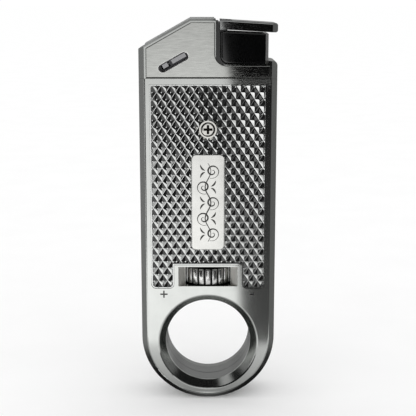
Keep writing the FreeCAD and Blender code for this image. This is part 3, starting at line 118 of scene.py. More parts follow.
def noise(tree, scale, detail=3.0, roughness=0.55):
    """Noise over the piece's own coordinates, scale in features per metre along X, Y and Z."""
    coordinates = new_node(tree, "ShaderNodeTexCoord").outputs["Object"]
    if isinstance(scale, (int, float)):
        scale = (scale, scale, scale)
    mapping = new_node(tree, "ShaderNodeMapping", inputs={"Vector": coordinates, "Scale": scale})
    texture = new_node(tree, "ShaderNodeTexNoise",
                       inputs={"Vector": mapping.outputs[0], "Scale": 1.0, "Detail": detail,
                               "Roughness": roughness})
    return texture.outputs["Fac"]


def edge_mask(tree, radius):
    """About 1 on convex and concave edges and 0 on the flats."""
    bevel = new_node(tree, "ShaderNodeBevel", {"samples": 4}, {"Radius": radius})
    true_normal = new_node(tree, "ShaderNodeNewGeometry").outputs["Normal"]
    dot = new_node(tree, "ShaderNodeVectorMath", {"operation": "DOT_PRODUCT"},
                   {0: bevel.outputs[0], 1: true_normal}).outputs["Value"]
    return remap(tree, dot, 0.995, 0.85, 0.0, 1.0)


def mix_colour(tree, factor, first, second):
    node = tree.nodes.new("ShaderNodeMix")
    node.data_type = "RGBA"
    for index, value in ((0, factor), (6, first), (7, second)):
        if isinstance(value, bpy.types.NodeSocket):
            tree.links.new(value, node.inputs[index])
        else:
            node.inputs[index].default_value = value
    return node.outputs[2]


def shade(colour, factor):
    return tuple(min(1.0, channel * factor) for channel in colour[:3]) + (1.0,)


def start_material(name, values):
    material = bpy.data.materials.new(name)
    material.use_nodes = True
    tree = material.node_tree
    shader = tree.nodes["Principled BSDF"]
    for key, value in values.items():
        shader.inputs[key].default_value = value
    return material, tree, shader


def metal(name, colour, rough, grain, spread, bump, wear=0.35, contrast=0.08, anisotropic=0.0):
    """Worked metal. grain is the scratch noise's scale, spread the change of roughness over it."""
    material, tree, shader = start_material(name, {"Metallic": 1.0, "Anisotropic": anisotropic})
    scratches = noise(tree, grain, 5.0, 0.6)
    blotches = noise(tree, 260.0, 3.0, 0.6)
    tone = mix_colour(tree, remap(tree, scratches, 0.3, 0.7, 0.0, 1.0),
                      shade(colour, 1.0 - contrast), shade(colour, 1.0 + contrast))
    tone = mix_colour(tree, remap(tree, blotches, 0.35, 0.75, 0.0, 0.35), tone, shade(colour, 0.9))
    edges = edge_mask(tree, 0.00018)
    worn = maths(tree, "MULTIPLY", edges, remap(tree, noise(tree, 1500.0), 0.35, 0.6, 0.0, wear))
    tone = mix_colour(tree, worn, tone, shade(colour, 1.35))
    tree.links.new(tone, shader.inputs["Base Color"])
    roughness = remap(tree, scratches, 0.25, 0.75, rough - spread, rough + spread)
    roughness = maths(tree, "ADD", roughness, remap(tree, blotches, 0.4, 0.8, 0.0, spread))
    roughness = maths(tree, "SUBTRACT", roughness, maths(tree, "MULTIPLY", worn, 0.4 * rough))
    tree.links.new(roughness, shader.inputs["Roughness"])
    relief = new_node(tree, "ShaderNodeBump", inputs={"Strength": 1.0, "Distance": bump, "Height": scratches})
    tree.links.new(relief.outputs[0], shader.inputs["Normal"])
    return material


def repaint(material, mask, colour, rough):
    """Mix a finished material towards another colour where the mask is 1, and add to its roughness."""
    tree = material.node_tree
    shader = tree.nodes["Principled BSDF"]
    tone = shader.inputs["Base Color"].links[0].from_socket
    tree.links.new(mix_colour(tree, mask, tone, shade(colour, 1.0)), shader.inputs["Base Color"])
    smooth = shader.inputs["Roughness"].links[0].from_socket
    extra = maths(tree, "MULTIPLY", mask, rough)
    tree.links.new(maths(tree, "ADD", smooth, extra), shader.inputs["Roughness"])


def place_axes(tree):
    """The piece's own X, Y and Z, in metres."""
    coordinates = new_node(tree, "ShaderNodeTexCoord").outputs["Object"]
    return new_node(tree, "ShaderNodeSeparateXYZ", inputs={0: coordinates}).outputs


def distance(tree, first, second):
    """Distance from the middle, from the two coordinates of a plane."""
    squares = [maths(tree, "MULTIPLY", value, value) for value in (first, second)]
    return maths(tree, "SQRT", maths(tree, "ADD", squares[0], squares[1]))


def fade(tree, coordinate, start, end):
    """0 at start and 1 at end, two places along a coordinate, in millimetres."""
    return remap(tree, coordinate, start * MM, end * MM, 0.0, 1.0)


def inside(tree, ranges, soft):
    """1 where each coordinate lies in its range and 0 elsewhere, all in millimetres."""
    product = 1.0
    for coordinate, low, high in ranges:
        for start, end in ((low - soft, low), (high + soft, high)):
            product = maths(tree, "MULTIPLY", product, fade(tree, coordinate, start, end))
    return product


def plastic(name, colour, rough, coat=0.0, worn_colour=None, grain=2500.0, bump=4e-6):
    """Moulded, painted or rubber surface, with its edges rubbed towards worn_colour."""
    material, tree, shader = start_material(name, {"Coat Weight": coat, "Coat Roughness": 0.06})
    fine = noise(tree, grain, 4.0)
    blotches = noise(tree, 300.0, 3.0)
    tone = mix_colour(tree, remap(tree, blotches, 0.35, 0.7, 0.0, 1.0),
                      shade(colour, 0.85), shade(colour, 1.15))
    if worn_colour:
        edges = edge_mask(tree, 0.00012)
        worn = maths(tree, "MULTIPLY", edges, remap(tree, noise(tree, 1400.0), 0.45, 0.62, 0.0, 0.5))
        tone = mix_colour(tree, worn, tone, shade(worn_colour, 1.0))
        tree.links.new(worn, shader.inputs["Metallic"])
    tree.links.new(tone, shader.inputs["Base Color"])
    roughness = remap(tree, fine, 0.3, 0.7, rough * 0.8, rough * 1.25)
    tree.links.new(roughness, shader.inputs["Roughness"])
    relief = new_node(tree, "ShaderNodeBump", inputs={"Strength": 1.0, "Distance": bump, "Height": fine})
    tree.links.new(relief.outputs[0], shader.inputs["Normal"])
    return material


# ---------------------------------------------------------------- materials, one per slot of the record

MATERIALS = {
    "satin_nickel": metal("satin_nickel", (0.64, 0.655, 0.635), 0.13, (7000.0, 7000.0, 9000.0), 0.03,
                          3e-7, contrast=0.03),
    "brushed_nickel": metal("brushed_nickel", (0.62, 0.63, 0.605), 0.11, (420.0, 5000.0, 5000.0), 0.045,
                            1.6e-7, contrast=0.17),
    "chrome_knurl": metal("chrome_knurl", (0.80, 0.81, 0.80), 0.045, 5000.0, 0.012, 2e-7, contrast=0.03),
    "polished_steel": metal("polished_steel", (0.52, 0.53, 0.52), 0.16, (600.0, 6000.0, 600.0), 0.04, 5e-7),
    "nameplate_steel": metal("nameplate_steel", (0.82, 0.82, 0.79), 0.2, (300.0, 3000.0, 5000.0), 0.04, 1e-6),
    "screw_steel": metal("screw_steel", (0.70, 0.69, 0.65), 0.12, 4000.0, 0.03, 5e-7),
    "wheel_steel": metal("wheel_steel", (0.93, 0.93, 0.91), 0.24, (2500.0, 2500.0, 400.0), 0.03, 5e-7),
    "slot_steel": metal("slot_steel", (0.42, 0.42, 0.43), 0.2, (2500.0, 2500.0, 5000.0), 0.05, 8e-7),
    "lid_nickel": metal("lid_nickel", (0.56, 0.57, 0.56), 0.09, (500.0, 5000.0, 5000.0), 0.03, 5e-7),
    "lever_nickel": metal("lever_nickel", (0.60, 0.61, 0.60), 0.2, (400.0, 4000.0, 400.0), 0.05, 8e-7),
    "dark_steel": metal("dark_steel", (0.17, 0.17, 0.18), 0.32, 4000.0, 0.08, 1e-6),
    "spring_steel": metal("spring_steel", (0.42, 0.42, 0.43), 0.24, 3000.0, 0.06, 8e-7),
    "brass": metal("brass", (0.74, 0.56, 0.27), 0.22, (2500.0, 2500.0, 9000.0), 0.06, 1e-6),
    "flint_metal": metal("flint_metal", (0.24, 0.23, 0.22), 0.55, 6000.0, 0.1, 6e-6),
    "black_enamel": plastic("black_enamel", (0.0018, 0.0019, 0.002), 0.12, 0.6, (0.5, 0.5, 0.5), 1800.0,
                            1e-6),
    "tank_plastic": plastic("tank_plastic", (0.74, 0.75, 0.72), 0.4),
    "engraving": metal("engraving", (0.13, 0.13, 0.125), 0.35, 5000.0, 0.08, 1e-6, contrast=0.25),
    "seal_rubber": plastic("seal_rubber", (0.02, 0.02, 0.02), 0.7, bump=1e-5),
}


def painted_screw_shade():
    """Painted shade in the cross recess and round the sides of the case screws' heads."""
    material = MATERIALS["screw_steel"]
    tree = material.node_tree
    x, y, z = place_axes(tree)
    middle = distance(tree, x, maths(tree, "SUBTRACT", z, SCREW_HEIGHT * MM))
    below_face = fade(tree, maths(tree, "ABSOLUTE", y), 7.20, 7.12)
    recess = maths(tree, "MULTIPLY", fade(tree, middle, 1.45, 1.35), below_face)
    gap = maths(tree, "MULTIPLY", fade(tree, middle, 1.68, 1.76), fade(tree, middle, 1.92, 1.88))
    # painted shade: a dark brown mixed into the recess and into the gap between head and washer
    repaint(material, maths(tree, "MAXIMUM", recess, gap), (0.035, 0.03, 0.026), 0.4)


def painted_wheel_shade():
    """Painted shade in the gaps between the adjuster wheel's teeth."""
    material = MATERIALS["wheel_steel"]
    tree = material.node_tree
    x, y, z = place_axes(tree)
    # painted shade: darker from 6.98 mm inwards, fully dark inside 6.7 mm
    repaint(material, fade(tree, distance(tree, x, y), 6.98, 6.7), (0.03, 0.03, 0.03), 0.4)


def dark_marks_and_lit_slopes():
    """Dark paint in the plus and minus marks, and a painted highlight on the slopes of the wheel's windows:
    near white and matt.
    """
    material = MATERIALS["satin_nickel"]
    tree = material.node_tree
    x, y, z = place_axes(tree)
    across, away = maths(tree, "ABSOLUTE", x), maths(tree, "ABSOLUTE", y)
    marks = inside(tree, ((away, 6.0, 7.13), (across, 10.5, 13.3), (z, 28.8, 31.4)), 0.05)
    repaint(material, marks, (0.14, 0.14, 0.14), 0.3)
    # painted highlight: near-white matt colour standing in for the light that the window's slopes catch
    slopes = inside(tree, ((away, 4.5, 7.19), (across, 6.2, 9.2), (z, 31.8, 38.2)), 0.03)
    repaint(material, slopes, (0.9, 0.89, 0.85), 0.5)


def painted_slot_highlight():
    """A painted highlight: the rim round the slanted slot of the head plate made near white."""
    material = MATERIALS["brushed_nickel"]
    tree = material.node_tree
    x, y, z = place_axes(tree)
    across = maths(tree, "SUBTRACT", x, SLOT_ACROSS * MM)
    up = maths(tree, "SUBTRACT", z, SLOT_HEIGHT * MM)
    along = maths(tree, "ADD", maths(tree, "MULTIPLY", across, math.cos(FLINT_SLANT)),
                  maths(tree, "MULTIPLY", up, math.sin(FLINT_SLANT)))
    aside = maths(tree, "SUBTRACT", maths(tree, "MULTIPLY", up, math.cos(FLINT_SLANT)),
                  maths(tree, "MULTIPLY", across, math.sin(FLINT_SLANT)))
    beyond = maths(tree, "SUBTRACT", maths(tree, "ABSOLUTE", along), SLOT_HALF_STRAIGHT * MM)
    from_slot = distance(tree, maths(tree, "MAXIMUM", beyond, 0.0), aside)
    rim = inside(tree, ((from_slot, 0.9, 1.24), (y, -9.0, -6.85)), 0.06)
    # painted highlight: near white mixed into the rim all round the slot
    repaint(material, rim, (1.0, 1.0, 0.98), 0.22)


def lit_guard_end():
    """Painted light on the wind guard's outer end: light metal there stands in for the light that its side
    catches.
    """
    material = MATERIALS["black_enamel"]
    tree = material.node_tree
    shader = tree.nodes["Principled BSDF"]
    x, y, z = place_axes(tree)
    lit_end = inside(tree, ((x, GUARD_EDGE, 20.0), (z, 80.0, 110.0)), 0.05)
    # painted highlight: light grey metal on the guard's outer end, beyond GUARD_EDGE
    repaint(material, lit_end, (0.6, 0.6, 0.59), 0.2)
    metallic = shader.inputs["Metallic"].links[0].from_socket
    tree.links.new(maths(tree, "MAXIMUM", metallic, lit_end), shader.inputs["Metallic"])


painted_screw_shade()
painted_wheel_shade()
dark_marks_and_lit_slopes()
painted_slot_highlight()
lit_guard_end()

for part in frame["record"]["subparts"]:
    mesh = NODES[part["node"]].data
    mesh.materials.clear()
    mesh.materials.append(MATERIALS[part["material_slot"]])


# ---------------------------------------------------------------- detailed pieces

def add_object(bm, name, body, material, replaced=None):
    """Turn a bmesh in millimetres into an object that rides on a body."""
    bmesh.ops.scale(bm, vec=(MM, MM, MM), verts=bm.verts)
    mesh = bpy.data.meshes.new(name)
    bm.to_mesh(mesh)
    bm.free()
    piece = bpy.data.objects.new(name, mesh)
    SCENE.collection.objects.link(piece)
    mesh.materials.append(MATERIALS[material])
    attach(piece, body)
    if replaced:
        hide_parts(replaced)


def pyramid_height(u, v):
    """Height of the knurling at lattice coordinates u and v."""
    away = max(abs(u - round(u)), abs(v - round(v)))
    for (start, high), (end, low) in zip(PYRAMID, PYRAMID[1:]):
        if away <= end + 1e-6:
            return high + (low - high) * (away - start) / (end - start)
    return PYRAMID[-1][1]


def lattice_stops(reach):
    """Where the pyramids' profile has its corners, in cells, out to reach cells each way."""
    offsets = [sign * away for away, height in PYRAMID[1:-1] for sign in (-1, 1)]
    stops = [cell + offset for cell in range(-reach, reach + 1) for offset in offsets]
    stops += [cell + 0.5 for cell in range(-reach, reach)]
    return sorted(stops)


def knurl_field():
    """Rows of pyramids between two families of rounded grooves, over the whole panel."""
    bm = bmesh.new()
    stops = lattice_stops(14)
    margin = 0.7
    corners = {}

    def position(u, v):
        return KNURL_ACROSS * (u + v) / 2, KNURL_ALONG * (u - v) / 2 + PANEL_MIDDLE

    def corner(i, j):
        if (i, j) not in corners:
            u, v = stops[i], stops[j]
            x, z = position(u, v)
            corners[i, j] = bm.verts.new((x, pyramid_height(u, v), z))
        return corners[i, j]

    for i, (u_low, u_high) in enumerate(zip(stops, stops[1:])):
        for j, (v_low, v_high) in enumerate(zip(stops, stops[1:])):
            u, v = (u_low + u_high) / 2, (v_low + v_high) / 2
            x, z = position(u, v)
            if abs(x) > PANEL_HALF_WIDTH + margin or not PANEL_LOW - margin < z < PANEL_HIGH + margin:
                continue
            quad = [corner(i, j), corner(i + 1, j), corner(i + 1, j + 1), corner(i, j + 1)]
            a, b = u - round(u), v - round(v)
            on_ridge = abs(abs(a) - abs(b)) < 1e-4 and abs(a) > 0.01
            if not on_ridge:
                bm.faces.new(quad)
            elif a * b > 0:
                bm.faces.new([quad[0], quad[1], quad[2]])
                bm.faces.new([quad[0], quad[2], quad[3]])
            else:
                bm.faces.new([quad[0], quad[1], quad[3]])
                bm.faces.new([quad[1], quad[2], quad[3]])
    return bm


def trim(bm, place, normal):
    """Remove everything on the side of a plane that its normal points to."""
    bmesh.ops.bisect_plane(bm, geom=bm.verts[:] + bm.edges[:] + bm.faces[:], plane_co=place, plane_no=normal,
                           clear_outer=True)


def cut_opening(bm, outline):
    """Cut a convex opening, given as (x, z) corners that run anticlockwise."""
    low_x, high_x = min(x for x, z in outline) - 0.5, max(x for x, z in outline) + 0.5
    low_z, high_z = min(z for x, z in outline) - 0.5, max(z for x, z in outline) + 0.5
    sides = list(zip(outline, outline[1:] + outline[:1]))

    def faces_near():
        found = []
        for face in bm.faces:
            middle = face.calc_center_bounds()
            if low_x - 1.5 < middle.x < high_x + 1.5 and low_z - 1.5 < middle.z < high_z + 1.5:
                found.append(face)
        return found

    for (x0, z0), (x1, z1) in sides:
        faces = faces_near()
        edges = {edge for face in faces for edge in face.edges}
        verts = {vert for face in faces for vert in face.verts}
        bmesh.ops.bisect_plane(bm, geom=list(verts) + list(edges) + faces, plane_co=(x0, 0, z0),
                               plane_no=(z1 - z0, 0, x0 - x1))
    inside = []
    for face in faces_near():
        middle = face.calc_center_median()
        if all((x1 - x0) * (middle.z - z0) > (z1 - z0) * (middle.x - x0) for (x0, z0), (x1, z1) in sides):
            inside.append(face)
    bmesh.ops.delete(bm, geom=inside, context="FACES")


def rounded_rectangle(centre, half_width, half_height, radius, steps=5):
    """Outline of a rectangle with rounded corners, about a height on the middle line."""
    points = []
    for turn, (right, up) in enumerate(((1, 1), (-1, 1), (-1, -1), (1, -1))):
        for step in range(steps + 1):
            angle = math.radians(90 * (turn + step / steps))
            points.append((right * (half_width - radius) + radius * math.cos(angle),
                           centre + up * (half_height - radius) + radius * math.sin(angle)))
    return points


def circle_outline(centre, radius, steps):
    angles = [2 * math.pi * step / steps for step in range(steps)]
    return [(radius * math.cos(angle), centre + radius * math.sin(angle)) for angle in angles]


def arc(centre_x, centre_z, radius, start, steps=4):
    """Points round a quarter circle, from a start angle in degrees, anticlockwise."""
    angles = [math.radians(start + 90 * step / steps) for step in range(steps + 1)]
    return [(centre_x + radius * math.cos(angle), centre_z + radius * math.sin(angle)) for angle in angles]


def panel_outline(inset):
    """Outline of a grip panel, notched round the adjuster window and set in from its edge."""
    side, notch = PANEL_HALF_WIDTH - inset, NOTCH_HALF_WIDTH + inset
    low, high = PANEL_LOW + inset, PANEL_HIGH - inset
    radius = PANEL_CORNER - inset
    points = arc(-side + radius, low + radius, radius, 180)
    points += arc(-notch - radius, low + radius, radius, 270)
    points += [(-notch, NOTCH_TOP + inset), (notch, NOTCH_TOP + inset)]
    points += arc(notch + radius, low + radius, radius, 180)
    points += arc(side - radius, low + radius, radius, 270)
    return points + [(side, high), (-side, high)]


def add_panel_frame(bm, side):
    """The narrow flat border that stands round the knurling, level with the pyramids."""
    rows = []
    for inset, y in ((0.02, RECESS_FLOOR), (0.02, KNURL_TOP - 0.06), (0.08, KNURL_TOP),
                     (FRAME_WIDTH - 0.06, KNURL_TOP), (FRAME_WIDTH, KNURL_TOP - 0.06),
                     (FRAME_WIDTH, KNURL_TOP - 0.62)):
        rows.append([bm.verts.new((x, side * y, z)) for x, z in panel_outline(inset)])
    count = len(rows[0])
    for outer, inner in zip(rows, rows[1:]):
        for index in range(count):
            after = (index + 1) % count
            quad = [outer[index], outer[after], inner[after], inner[index]]
            bm.faces.new(quad if side < 0 else quad[::-1])


def build_knurled_panel(name, node, side):
    """A grip panel, with side -1 for the front one and 1 for the rear one."""
    bm = knurl_field()
    trim(bm, (PANEL_HALF_WIDTH, 0, 0), (1, 0, 0))
    trim(bm, (-PANEL_HALF_WIDTH, 0, 0), (-1, 0, 0))
    trim(bm, (0, 0, PANEL_LOW), (0, 0, -1))
    trim(bm, (0, 0, PANEL_HIGH), (0, 0, 1))
    leg = 0.62 * PANEL_CORNER
    for middle in (-PANEL_HALF_WIDTH, -NOTCH_HALF_WIDTH, NOTCH_HALF_WIDTH, PANEL_HALF_WIDTH):
        cut_opening(bm, [(middle, PANEL_LOW - leg), (middle + leg, PANEL_LOW), (middle, PANEL_LOW + leg),
                         (middle - leg, PANEL_LOW)])
    cut_opening(bm, [(-NOTCH_HALF_WIDTH, PANEL_LOW - 1), (NOTCH_HALF_WIDTH, PANEL_LOW - 1),
                     (NOTCH_HALF_WIDTH, NOTCH_TOP), (-NOTCH_HALF_WIDTH, NOTCH_TOP)])
    cut_opening(bm, circle_outline(SCREW_HEIGHT, SCREW_HOLE, 28))
    if side < 0:
        cut_opening(bm, rounded_rectangle(PLATE_CENTRE, PLATE_HALF_WIDTH + 0.05, PLATE_HALF_LENGTH + 0.05,
                                          PLATE_CORNER))
    loose = [vert for vert in bm.verts if not vert.link_faces]
    bmesh.ops.delete(bm, geom=loose, context="VERTS")
    base = KNURL_TOP - PYRAMID[0][1]
    for vert in bm.verts:
        vert.co.y = side * (base + vert.co.y)
    add_panel_frame(bm, side)
    rim = [edge for edge in bm.edges if edge.is_boundary]
    skirt = bmesh.ops.extrude_edge_only(bm, edges=rim)["geom"]
    for item in skirt:
        if isinstance(item, bmesh.types.BMVert):
            item.co.y = side * RECESS_FLOOR
    bmesh.ops.recalc_face_normals(bm, faces=bm.faces[:])
    bm.normal_update()
    add_object(bm, name, "case", "chrome_knurl", node)


def loft(bm, rings):
    """Join rings of points, each a closed loop of the same count, and cap the two ends."""
    loops = [[bm.verts.new(point) for point in ring] for ring in rings]
    count = len(loops[0])
    for first, second in zip(loops, loops[1:]):
        for index in range(count):
            after = (index + 1) % count
            bm.faces.new([first[index], first[after], second[after], second[index]])
    bm.faces.new(loops[0][::-1])
    bm.faces.new(loops[-1])
    bmesh.ops.recalc_face_normals(bm, faces=bm.faces[:])


def build_nameplate():
    """The plate with rounded corners and a softened front edge."""
    rings = []
    for inset, y in ((0.0, RECESS_FLOOR), (0.0, 7.1), (0.03, 7.19), (0.09, 7.235), (0.17, 7.25)):
        outline = rounded_rectangle(PLATE_CENTRE, PLATE_HALF_WIDTH - inset, PLATE_HALF_LENGTH - inset,
                                    PLATE_CORNER - inset)
        rings.append([(x, -y, z) for x, z in outline])
    bm = bmesh.new()
    loft(bm, rings)
    add_object(bm, "engraved_nameplate", "case", "nameplate_steel", "nameplate")


def scroll_strokes():
    """A vine of alternating scrolls and leaves, as lists of (x, z, stroke half width)."""
    strokes = []
    stem = []
    for step in range(49):
        share = step / 48
        z = PLATE_CENTRE - 10.6 + 21.2 * share
        stem.append((0.75 * math.sin(share * 5 * math.pi), z, 0.07 + 0.1 * math.sin(math.pi * share)))
    strokes.append(stem)
    for index in range(5):
        side = 1 if index % 2 == 0 else -1
        centre_z = PLATE_CENTRE - 8.5 + 4.24 * index
        scroll = []
        for step in range(37):
            share = step / 36
            angle = math.radians(-110 + 560 * share)
            radius = 1.75 * (1 - share) ** 0.85 + 0.18
            scroll.append((side * (1.15 + radius * math.cos(angle)), centre_z + radius * math.sin(angle),
                           0.06 + 0.16 * math.sin(math.pi * share) ** 2))
        strokes.append(scroll)
        for lean in (-1, 1):
            leaf = []
            for step in range(13):
                share = step / 12
                leaf.append((-side * (0.75 + 2.1 * share - 0.8 * share * share),
                             centre_z + lean * (0.25 + 1.5 * share ** 1.6),
                             0.04 + 0.2 * math.sin(math.pi * share)))
            strokes.append(leaf)
    return strokes


def build_engraving():
    """Shallow V strokes, a little wider than a hair, across the nameplate."""
    bm = bmesh.new()
    for stroke in scroll_strokes():
        rows = []
        for index, (x, z, half) in enumerate(stroke):
            before, after = stroke[max(index - 1, 0)], stroke[min(index + 1, len(stroke) - 1)]
            along = Vector((after[0] - before[0], 0, after[1] - before[1])).normalized()
            beside = Vector((-along.z, 0, along.x))
            middle = Vector((x, -CASE_HALF_DEPTH, z))
            rows.append([bm.verts.new(middle + beside * half * share + Vector((0, -lift, 0)))
                         for share, lift in ((-1, 0.004), (-0.35, 0.03), (0.35, 0.03), (1, 0.004))])
        for first, second in zip(rows, rows[1:]):
            for index in range(3):
                bm.faces.new([first[index], first[index + 1], second[index + 1], second[index]])
    bmesh.ops.recalc_face_normals(bm, faces=bm.faces[:])
    facing = sum(face.normal.y * face.calc_area() for face in bm.faces)
    if facing > 0:
        bmesh.ops.reverse_faces(bm, faces=bm.faces[:])
    add_object(bm, "nameplate_engraving", "case", "engraving")


def build_wheel():
    """The adjuster wheel: rounded teeth with narrow gaps, bevelled rims and a hub."""
    # place across one tooth, in pitches, and depth below the crown
    tooth = ((-0.5, 0.56), (-0.42, 0.52), (-0.37, 0.28), (-0.32, 0.07), (-0.24, 0.01), (-0.08, 0.0),
             (0.08, 0.0), (0.24, 0.01), (0.32, 0.07), (0.37, 0.28), (0.42, 0.52))
    # radius, or None on the toothed rim, and height from the wheel's middle
    profile = ((2.6, 2.35), (3.2, 2.0), (5.9, 2.0), (6.1, 2.15), (None, 2.15), (None, 1.87),
               (None, -1.87), (None, -2.15), (6.1, -2.15), (5.9, -2.0), (3.2, -2.0), (2.6, -2.35))
    rim_inset = {2.15: 0.28, 1.87: 0.0, -1.87: 0.0, -2.15: 0.28}
    rings = []
    for plain, z in profile:
        ring = []
        for index in range(WHEEL_TEETH):
            for place, depth in tooth:
                angle = 2 * math.pi * (index + place) / WHEEL_TEETH
                reach = plain if plain else WHEEL_RADIUS - max(depth, rim_inset[z])
                ring.append((reach * math.cos(angle), reach * math.sin(angle), WHEEL_HEIGHT + z))
        rings.append(ring)
    bm = bmesh.new()
    loft(bm, rings)
    for face in bm.faces:
        face.smooth = abs(face.normal.z) < 0.3
    add_object(bm, "toothed_wheel", "adjuster_wheel", "wheel_steel", "adjuster_wheel")


def build_spring(name, node):
    """A coil spring of the case: a copy of its CAD part that rides on the case, with the part itself hidden.
    """
    mesh = NODES[node].data.copy()
    piece = bpy.data.objects.new(name, mesh)
    SCENE.collection.objects.link(piece)
    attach(piece, "case")
    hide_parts(node)
    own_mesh(piece)


build_knurled_panel("knurled_front_panel", "front_grip_panel", -1)
build_knurled_panel("knurled_rear_panel", "rear_grip_panel", 1)
build_nameplate()
build_engraving()
build_wheel()
build_spring("lever_coil", "lever_spring")
build_spring("flint_coil", "flint_spring")


# ---------------------------------------------------------------- surroundings

def build_world():
    """A studio of soft panels: light in front and to the left, dark to the front right."""
    world = bpy.data.worlds.new("studio")
    world.use_nodes = True
    SCENE.world = world
    world.cycles.sampling_method = "NONE"
    tree = world.node_tree
    background = tree.nodes["Background"]
    # turn and rise are the direction's angles in degrees: 0 and 0 is straight out in front
    direction = new_node(tree, "ShaderNodeTexCoord").outputs["Generated"]
    split = new_node(tree, "ShaderNodeSeparateXYZ", inputs={0: direction})
    across, depth, height = split.outputs
    turn = maths(tree, "MULTIPLY", maths(tree, "ARCTAN2", across, maths(tree, "MULTIPLY", depth, -1.0)),
                 180 / math.pi)
    rise = maths(tree, "MULTIPLY", maths(tree, "ARCSINE", height), 180 / math.pi)

    def panel(around, turn_low, turn_high, rise_low, rise_high, soft_turn, soft_rise):
        """1 inside the panel's angles and 0 outside, with soft sides."""
        parts = [remap(tree, around, turn_low - soft_turn[0], turn_low + soft_turn[0], 0.0, 1.0, True),
                 remap(tree, around, turn_high - soft_turn[1], turn_high + soft_turn[1], 1.0, 0.0, True),
                 remap(tree, rise, rise_low - soft_rise, rise_low + soft_rise, 0.0, 1.0, True),
                 remap(tree, rise, rise_high - soft_rise, rise_high + soft_rise, 1.0, 0.0, True)]
        product = parts[0]
        for value in parts[1:]:
            product = maths(tree, "MULTIPLY", product, value)
        return product

    # a little light from the floor right below, and darkness elsewhere
    total = remap(tree, rise, -74.0, -66.0, 0.3, 0.012)
    # the front panel fades towards its lower end and above the horizon
    front_strength = remap(tree, rise, -17.0, -6.0, 1.25, 0.95)
    for low, high, start, end in ((-24.0, -19.5, 0.45, 1.0), (-6.0, -1.0, 1.0, 0.62)):
        front_strength = maths(tree, "MULTIPLY", front_strength, remap(tree, rise, low, high, start, end))
    # the low left panel leans, so its angles turn with the rise
    leaning = maths(tree, "SUBTRACT", turn, maths(tree, "MULTIPLY", maths(tree, "ADD", rise, 37.6), 0.42))
    # the panels behind the object are the same on the left and the right
    behind = maths(tree, "ABSOLUTE", turn)
    panels = [
        (panel(turn, -9.0, 42.0, -36.0, 45.0, (2.5, 10.0), 8.0), front_strength),
        (panel(leaning, -71.0, -15.0, -60.0, -15.0, (1.2, 4.0), 3.0), 1.15),
        (panel(turn, -71.0, -54.0, -22.0, 6.0, (3.0, 3.0), 4.0), 1.0),
        (panel(turn, -110.0, -82.0, -32.0, 30.0, (6.0, 3.0), 8.0), 0.22),
        (panel(turn, 60.0, 110.0, -32.0, 30.0, (10.0, 6.0), 8.0), 0.14),
        (panel(turn, -112.0, -60.0, 48.0, 72.0, (6.0, 6.0), 5.0), 0.4),
        (panel(behind, 112.0, 146.0, -40.0, 60.0, (8.0, 5.0), 8.0), 0.9),
        (panel(behind, 156.0, 190.0, -20.0, 38.0, (6.0, 2.0), 8.0), 0.26),
        (panel(behind, 156.0, 190.0, 42.0, 62.0, (6.0, 2.0), 5.0), 0.9),
    ]
    for mask, strength in panels:
        total = maths(tree, "ADD", total, maths(tree, "MULTIPLY", mask, strength))
    # the panels show in reflections only, and all other light is even
    glossy = new_node(tree, "ShaderNodeLightPath").outputs["Is Glossy Ray"]
    strength = maths(tree, "ADD", maths(tree, "MULTIPLY", glossy, total),
                     maths(tree, "MULTIPLY", maths(tree, "SUBTRACT", 1.0, glossy), 1.05))
    tree.links.new(strength, background.inputs["Strength"])
    background.inputs["Color"].default_value = (1.0, 1.0, 1.0, 1.0)


def build_floor():
    """A plain pale floor that the metal doesn't mirror."""
    bpy.ops.mesh.primitive_plane_add(size=24.0, location=(0.0, 0.0, 0.0))
    floor = bpy.context.object
    floor.name = "floor"
    floor.visible_glossy = False
    material, tree, shader = start_material("floor_paper", {"Roughness": 0.9, "Specular IOR Level": 0.0})
    tone = mix_colour(tree, remap(tree, noise(tree, 40.0, 4.0), 0.3, 0.7, 0.0, 1.0),
                      (0.94, 0.94, 0.94, 1.0), (0.96, 0.96, 0.96, 1.0))
    tree.links.new(tone, shader.inputs["Base Color"])
    floor.data.materials.append(material)


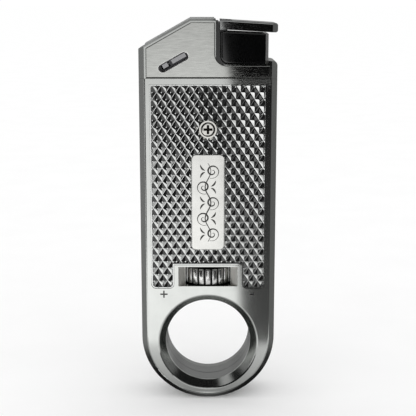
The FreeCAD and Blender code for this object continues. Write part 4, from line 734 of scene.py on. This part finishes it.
def build_card(name, corners, strengths, soft):
    """A flat card seen only in reflections, given by its corners from low left anticlockwise.

    strengths are its glow at the bottom and the top, and soft is its faded border as a
    share of its width and height.
    """
    mesh = bpy.data.meshes.new(name)
    mesh.from_pydata([Vector(corner) for corner in corners], [], [(0, 1, 2, 3)])
    layer = mesh.uv_layers.new(name="card")
    for loop, place in zip(layer.data, ((0, 0), (1, 0), (1, 1), (0, 1))):
        loop.uv = place
    card = bpy.data.objects.new(name, mesh)
    SCENE.collection.objects.link(card)
    card.visible_camera = False
    card.visible_diffuse = False
    card.visible_transmission = False
    card.visible_shadow = False
    material = bpy.data.materials.new(name)
    material.use_nodes = True
    tree = material.node_tree
    tree.nodes.clear()
    place = new_node(tree, "ShaderNodeTexCoord").outputs["UV"]
    split = new_node(tree, "ShaderNodeSeparateXYZ", inputs={0: place})
    mask = None
    for value, border in zip(split.outputs[:2], soft):
        for low, high in ((0.0, border), (1.0, 1.0 - border)):
            side = remap(tree, value, low, high, 0.0, 1.0, True)
            mask = side if mask is None else maths(tree, "MULTIPLY", mask, side)
    strength = remap(tree, split.outputs[1], 0.0, 1.0, strengths[0], strengths[1])
    glow = new_node(tree, "ShaderNodeEmission", inputs={"Strength": strength})
    clear = new_node(tree, "ShaderNodeBsdfTransparent")
    mixed = new_node(tree, "ShaderNodeMixShader", inputs={0: mask, 1: clear.outputs[0], 2: glow.outputs[0]})
    new_node(tree, "ShaderNodeOutputMaterial", inputs={0: mixed.outputs[0]})
    mesh.materials.append(material)


def build_cards():
    """Dark flags before the right side, and small cards that the bevels and the ring mirror."""
    flag_y = -0.055
    build_card("head_flag", [(0.0066, flag_y, 0.082), (0.066, flag_y, 0.082), (0.066, flag_y, 0.1075),
                             (0.0026, flag_y, 0.1075)], (0.006, 0.006), (0.015, 0.04))
    build_card("case_flag", [(0.0105, flag_y, -0.004), (0.066, flag_y, -0.004), (0.066, flag_y, 0.0835),
                             (0.0064, flag_y, 0.0835)], (0.09, 0.01), (0.02, 0.012))
    sky_z, floor_z = 0.117, 0.0012
    build_card("sky_card", [(-0.026, 0.0, sky_z), (0.003, 0.0, sky_z), (0.003, -0.016, sky_z),
                            (-0.026, -0.016, sky_z)], (0.3, 0.3), (0.1, 0.1))
    # painted shadow: floor_card stands in for the floor in reflections and glows less next to the ring, where
    # the lighter's shadow falls
    build_card("floor_card", [(-0.07, -0.050, floor_z), (0.07, -0.050, floor_z), (0.07, -0.0085, floor_z),
                              (-0.07, -0.0085, floor_z)], (0.85, 0.3), (0.1, 0.04))


def build_camera():
    """The photograph's view: from in front, a little above the lid, looking at mid-height."""
    data = bpy.data.cameras.new("camera")
    data.sensor_width = 36.0
    data.lens = 86.5
    data.clip_start = 0.01
    camera = bpy.data.objects.new("camera", data)
    SCENE.collection.objects.link(camera)
    camera.location = (0.0, -0.2665, 0.109)
    target = Vector((0.0, -0.00725, 0.0539))
    camera.rotation_euler = (target - camera.location).to_track_quat("-Z", "Y").to_euler()
    SCENE.camera = camera


build_world()
build_floor()
build_cards()
build_camera()
SCENE.view_settings.view_transform = "Standard"
